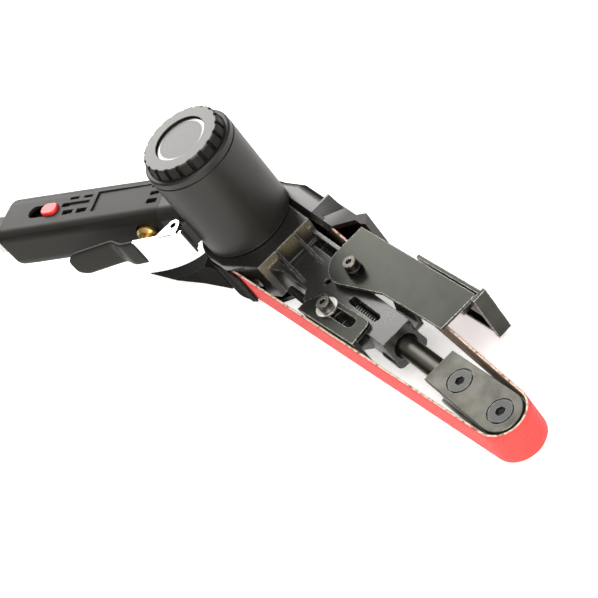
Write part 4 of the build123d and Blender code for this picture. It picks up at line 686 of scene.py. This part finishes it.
thread = Finish("cut_cloth_edge")
strand = thread.noise(0.35 * mm, 3.0).between(0.3, 0.7)
frayed = thread.mixed(strand, colour(0.40, 0.27, 0.19), colour(0.86, 0.78, 0.66))
soiled = thread.noise(2.2 * mm, 3.0).between(0.48, 0.66)
thread_tone = thread.mixed(soiled, frayed, colour(0.20, 0.10, 0.075))
thread_relief = thread.bump(thread.noise(0.2 * mm, 2.0), 0.15 * mm)
belt.data.materials.append(thread.done(Base_Color=thread_tone, Roughness=0.9, Normal=thread_relief))

backing = Finish("tan_backing")
threads = {"Vector": backing.place, "Scale": WEAVE_SCALE, "Distortion": 0.6}
warp = backing.node("ShaderNodeTexWave", {"bands_direction": "Z"}, threads)
weft = backing.node("ShaderNodeTexWave", {"bands_direction": "X"}, threads)
weave = warp * weft
backing_tone = backing.mixed(weave, colour(0.13, 0.085, 0.055), colour(0.30, 0.215, 0.15))
backing_relief = backing.bump(weave, 0.08 * mm)
belt.data.materials.append(backing.done(Base_Color=backing_tone, Roughness=0.85, Normal=backing_relief))
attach(belt, "head")
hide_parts("abrasive_belt")

# %% [markdown]
# ## The dipped finger end of the lever
#
# The steel strip of the lever is dipped in black vinyl, which rounds every edge and softens both
# bends. The dip is a rounded section carried along the smoothed line of the strip. Near the
# tip the section narrows along a circle, as the strip's end is round.

# %% Dip line and surface
HANDLE_TURN, HANDLE_HEIGHT = math.radians(215), 45.0 * mm
STRIP_ALONG = np.array([15.5, 22.0, 46.0, 53.0, 60.0, 88.0]) * mm
STRIP_RISE = np.array([25.0, 26.1, 27.6, 28.3, 24.9, 31.4]) * mm
STRIP_THICKNESS, DIP_START = 1.5 * mm, 45.0 * mm
DIP_HALF_WIDTH, DIP_HALF_THICKNESS, TIP_ROUND = 7.75 * mm, 1.45 * mm, 6.75 * mm
SOFTENING = 8.0 * mm
DIP_STEPS, DIP_AROUND = 160, 48


def dip_line(steps):
    """Places along the handle and the softened rise of the strip's middle over them.

    The rise is the bent strip's own line averaged over a short stretch, so each bend turns into
    an even curve. Beyond the tip the last stretch runs on straight.
    """
    along = np.linspace(DIP_START, STRIP_ALONG[-1], steps)
    reach = np.linspace(-0.5, 0.5, 41) * SOFTENING
    weight = np.cos(np.pi * reach / SOFTENING) ** 2
    sample = along[:, None] + reach[None, :]
    slope = (STRIP_RISE[-1] - STRIP_RISE[-2]) / (STRIP_ALONG[-1] - STRIP_ALONG[-2])
    beyond = np.clip(sample - STRIP_ALONG[-1], 0, None) * slope
    rise = np.interp(sample, STRIP_ALONG, STRIP_RISE) + beyond
    return along, rise @ weight / weight.sum() - STRIP_THICKNESS / 2


def closed_tube(name, rings):
    """Closed skin with flat ends through rings of points, an array of steps by around by three."""
    steps, around = rings.shape[:2]
    row, column = np.meshgrid(np.arange(steps - 1) * around, np.arange(around), indexing="ij")
    beside = (column + 1) % around
    grid = np.stack([row + column, row + beside, row + around + beside, row + around + column], 2)
    ends = [list(range(around))[::-1], list(range((steps - 1) * around, steps * around))]
    faces = grid.reshape(-1, 4).tolist() + ends
    piece = mesh_piece(name, rings.reshape(-1, 3), faces)
    piece.data.polygons.foreach_set("use_smooth", np.arange(len(faces)) < len(faces) - len(ends))
    print(name, len(faces), "faces")
    return piece


def make_dip():
    """Rounded section swept along the line: a superellipse of power four, narrowing to the tip."""
    around = DIP_AROUND
    along, rise = dip_line(DIP_STEPS)
    left = np.clip(along[-1] - along, 1e-6, None)
    narrow = np.clip(TIP_ROUND - left, 0, None)
    half_width = DIP_HALF_WIDTH - TIP_ROUND + np.sqrt(TIP_ROUND**2 - narrow**2)
    thin = np.clip(DIP_HALF_THICKNESS - left, 0, None)
    half_thickness = np.sqrt(DIP_HALF_THICKNESS**2 - thin**2)
    turn = 2 * np.pi * np.arange(around) / around
    across = np.sign(np.cos(turn)) * np.sqrt(np.abs(np.cos(turn)))
    over = np.sign(np.sin(turn)) * np.sqrt(np.abs(np.sin(turn)))
    side = half_width[:, None] * across[None, :]
    lift = rise[:, None] + half_thickness[:, None] * over[None, :]
    x = np.repeat(along[:, None], around, 1)
    c, s = math.cos(HANDLE_TURN), math.sin(HANDLE_TURN)
    rings = np.stack([x * c - lift * s, x * s + lift * c, HANDLE_HEIGHT + side], 2)
    return closed_tube("lever_dip", rings)


dip = make_dip()
dip.data.materials.append(dip_finish)
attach(dip, "lever")
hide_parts("lever_grip")

# %% [markdown]
# ## Springs that give
#
# Two coil springs are squeezed when the tool is used: one behind the tension rod, which shows in
# the arm's slot, and one behind the air valve. A coil is a round wire carried along a helix. Each
# is made again here in place of its solid.

# %% Coils
STEPS_A_TURN, POINTS_AROUND = 48, 14


def make_coil(name, wire, radius, turns, start, end, first):
    """Round wire on a helix from start to end.

    The wire's middle is a point of the axis plus the radius times a direction that begins at first
    and turns evenly. The skin is that middle plus half the wire times a second direction that turns
    once about the wire's own heading.
    """
    turn = np.linspace(0, 2 * np.pi * turns, STEPS_A_TURN * turns + 1)[:, None]
    axis = (end - start) / np.linalg.norm(end - start)
    second = np.cross(axis, first)
    out = np.cos(turn) * first + np.sin(turn) * second
    middle = start + turn / turn[-1] * (end - start) + radius * out
    heading = radius * (np.cos(turn) * second - np.sin(turn) * first) + (end - start) / turn[-1]
    heading = heading / np.linalg.norm(heading, axis=1, keepdims=True)
    about = (2 * np.pi * np.arange(POINTS_AROUND) / POINTS_AROUND)[None, :, None]
    skin = np.cos(about) * out[:, None] + np.sin(about) * np.cross(heading, out)[:, None]
    return closed_tube(name, middle[:, None] + wire / 2 * skin)


def squeezed(coil, node, body, wire, start, end):
    """Sets a coil in place of its solid."""
    axis = (end - start) / np.linalg.norm(end - start)
    coil.data.materials.append(spring_wire)
    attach(coil, body)
    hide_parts(node)
    tuple(start - axis * wire / 2)
    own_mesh(coil)


# %% Spring behind the tension rod
TENSION_WIRE, TENSION_RADIUS, TENSION_TURNS, TENSION_TRAVEL = 1.2 * mm, 3.6 * mm, 20, 10.0 * mm
TENSION_START = np.array([77.8, 0, 15.0]) * mm
TENSION_END = np.array([114.2, 0, 15.0]) * mm
DOWN = np.array([0, 0, -1])
tension_coil = make_coil(
    "tension_coil", TENSION_WIRE, TENSION_RADIUS, TENSION_TURNS, TENSION_START, TENSION_END, DOWN,
)
squeezed(
    tension_coil, "tension_spring", "head",
    TENSION_WIRE, TENSION_START, TENSION_END,
)

# %% Spring behind the air valve
VALVE_WIRE, VALVE_RADIUS, VALVE_TURNS, VALVE_TRAVEL = 0.8 * mm, 3.2 * mm, 3, 3.4 * mm
VALVE_PLACE, VALVE_FOOT, VALVE_HEAD = 44.0 * mm, -10.2 * mm, -2.4 * mm
ALONG_HANDLE = np.array([math.cos(HANDLE_TURN), math.sin(HANDLE_TURN), 0])
TO_LEVER = np.array([-math.sin(HANDLE_TURN), math.cos(HANDLE_TURN), 0])
VALVE_MIDDLE = VALVE_PLACE * ALONG_HANDLE + np.array([0, 0, HANDLE_HEIGHT])
VALVE_START = VALVE_MIDDLE + VALVE_FOOT * TO_LEVER
VALVE_END = VALVE_MIDDLE + VALVE_HEAD * TO_LEVER
valve_coil = make_coil(
    "valve_coil", VALVE_WIRE, VALVE_RADIUS, VALVE_TURNS, VALVE_START, VALVE_END, ALONG_HANDLE,
)
squeezed(
    valve_coil, "valve_spring", "motor_body",
    VALVE_WIRE, VALVE_START, VALVE_END,
)
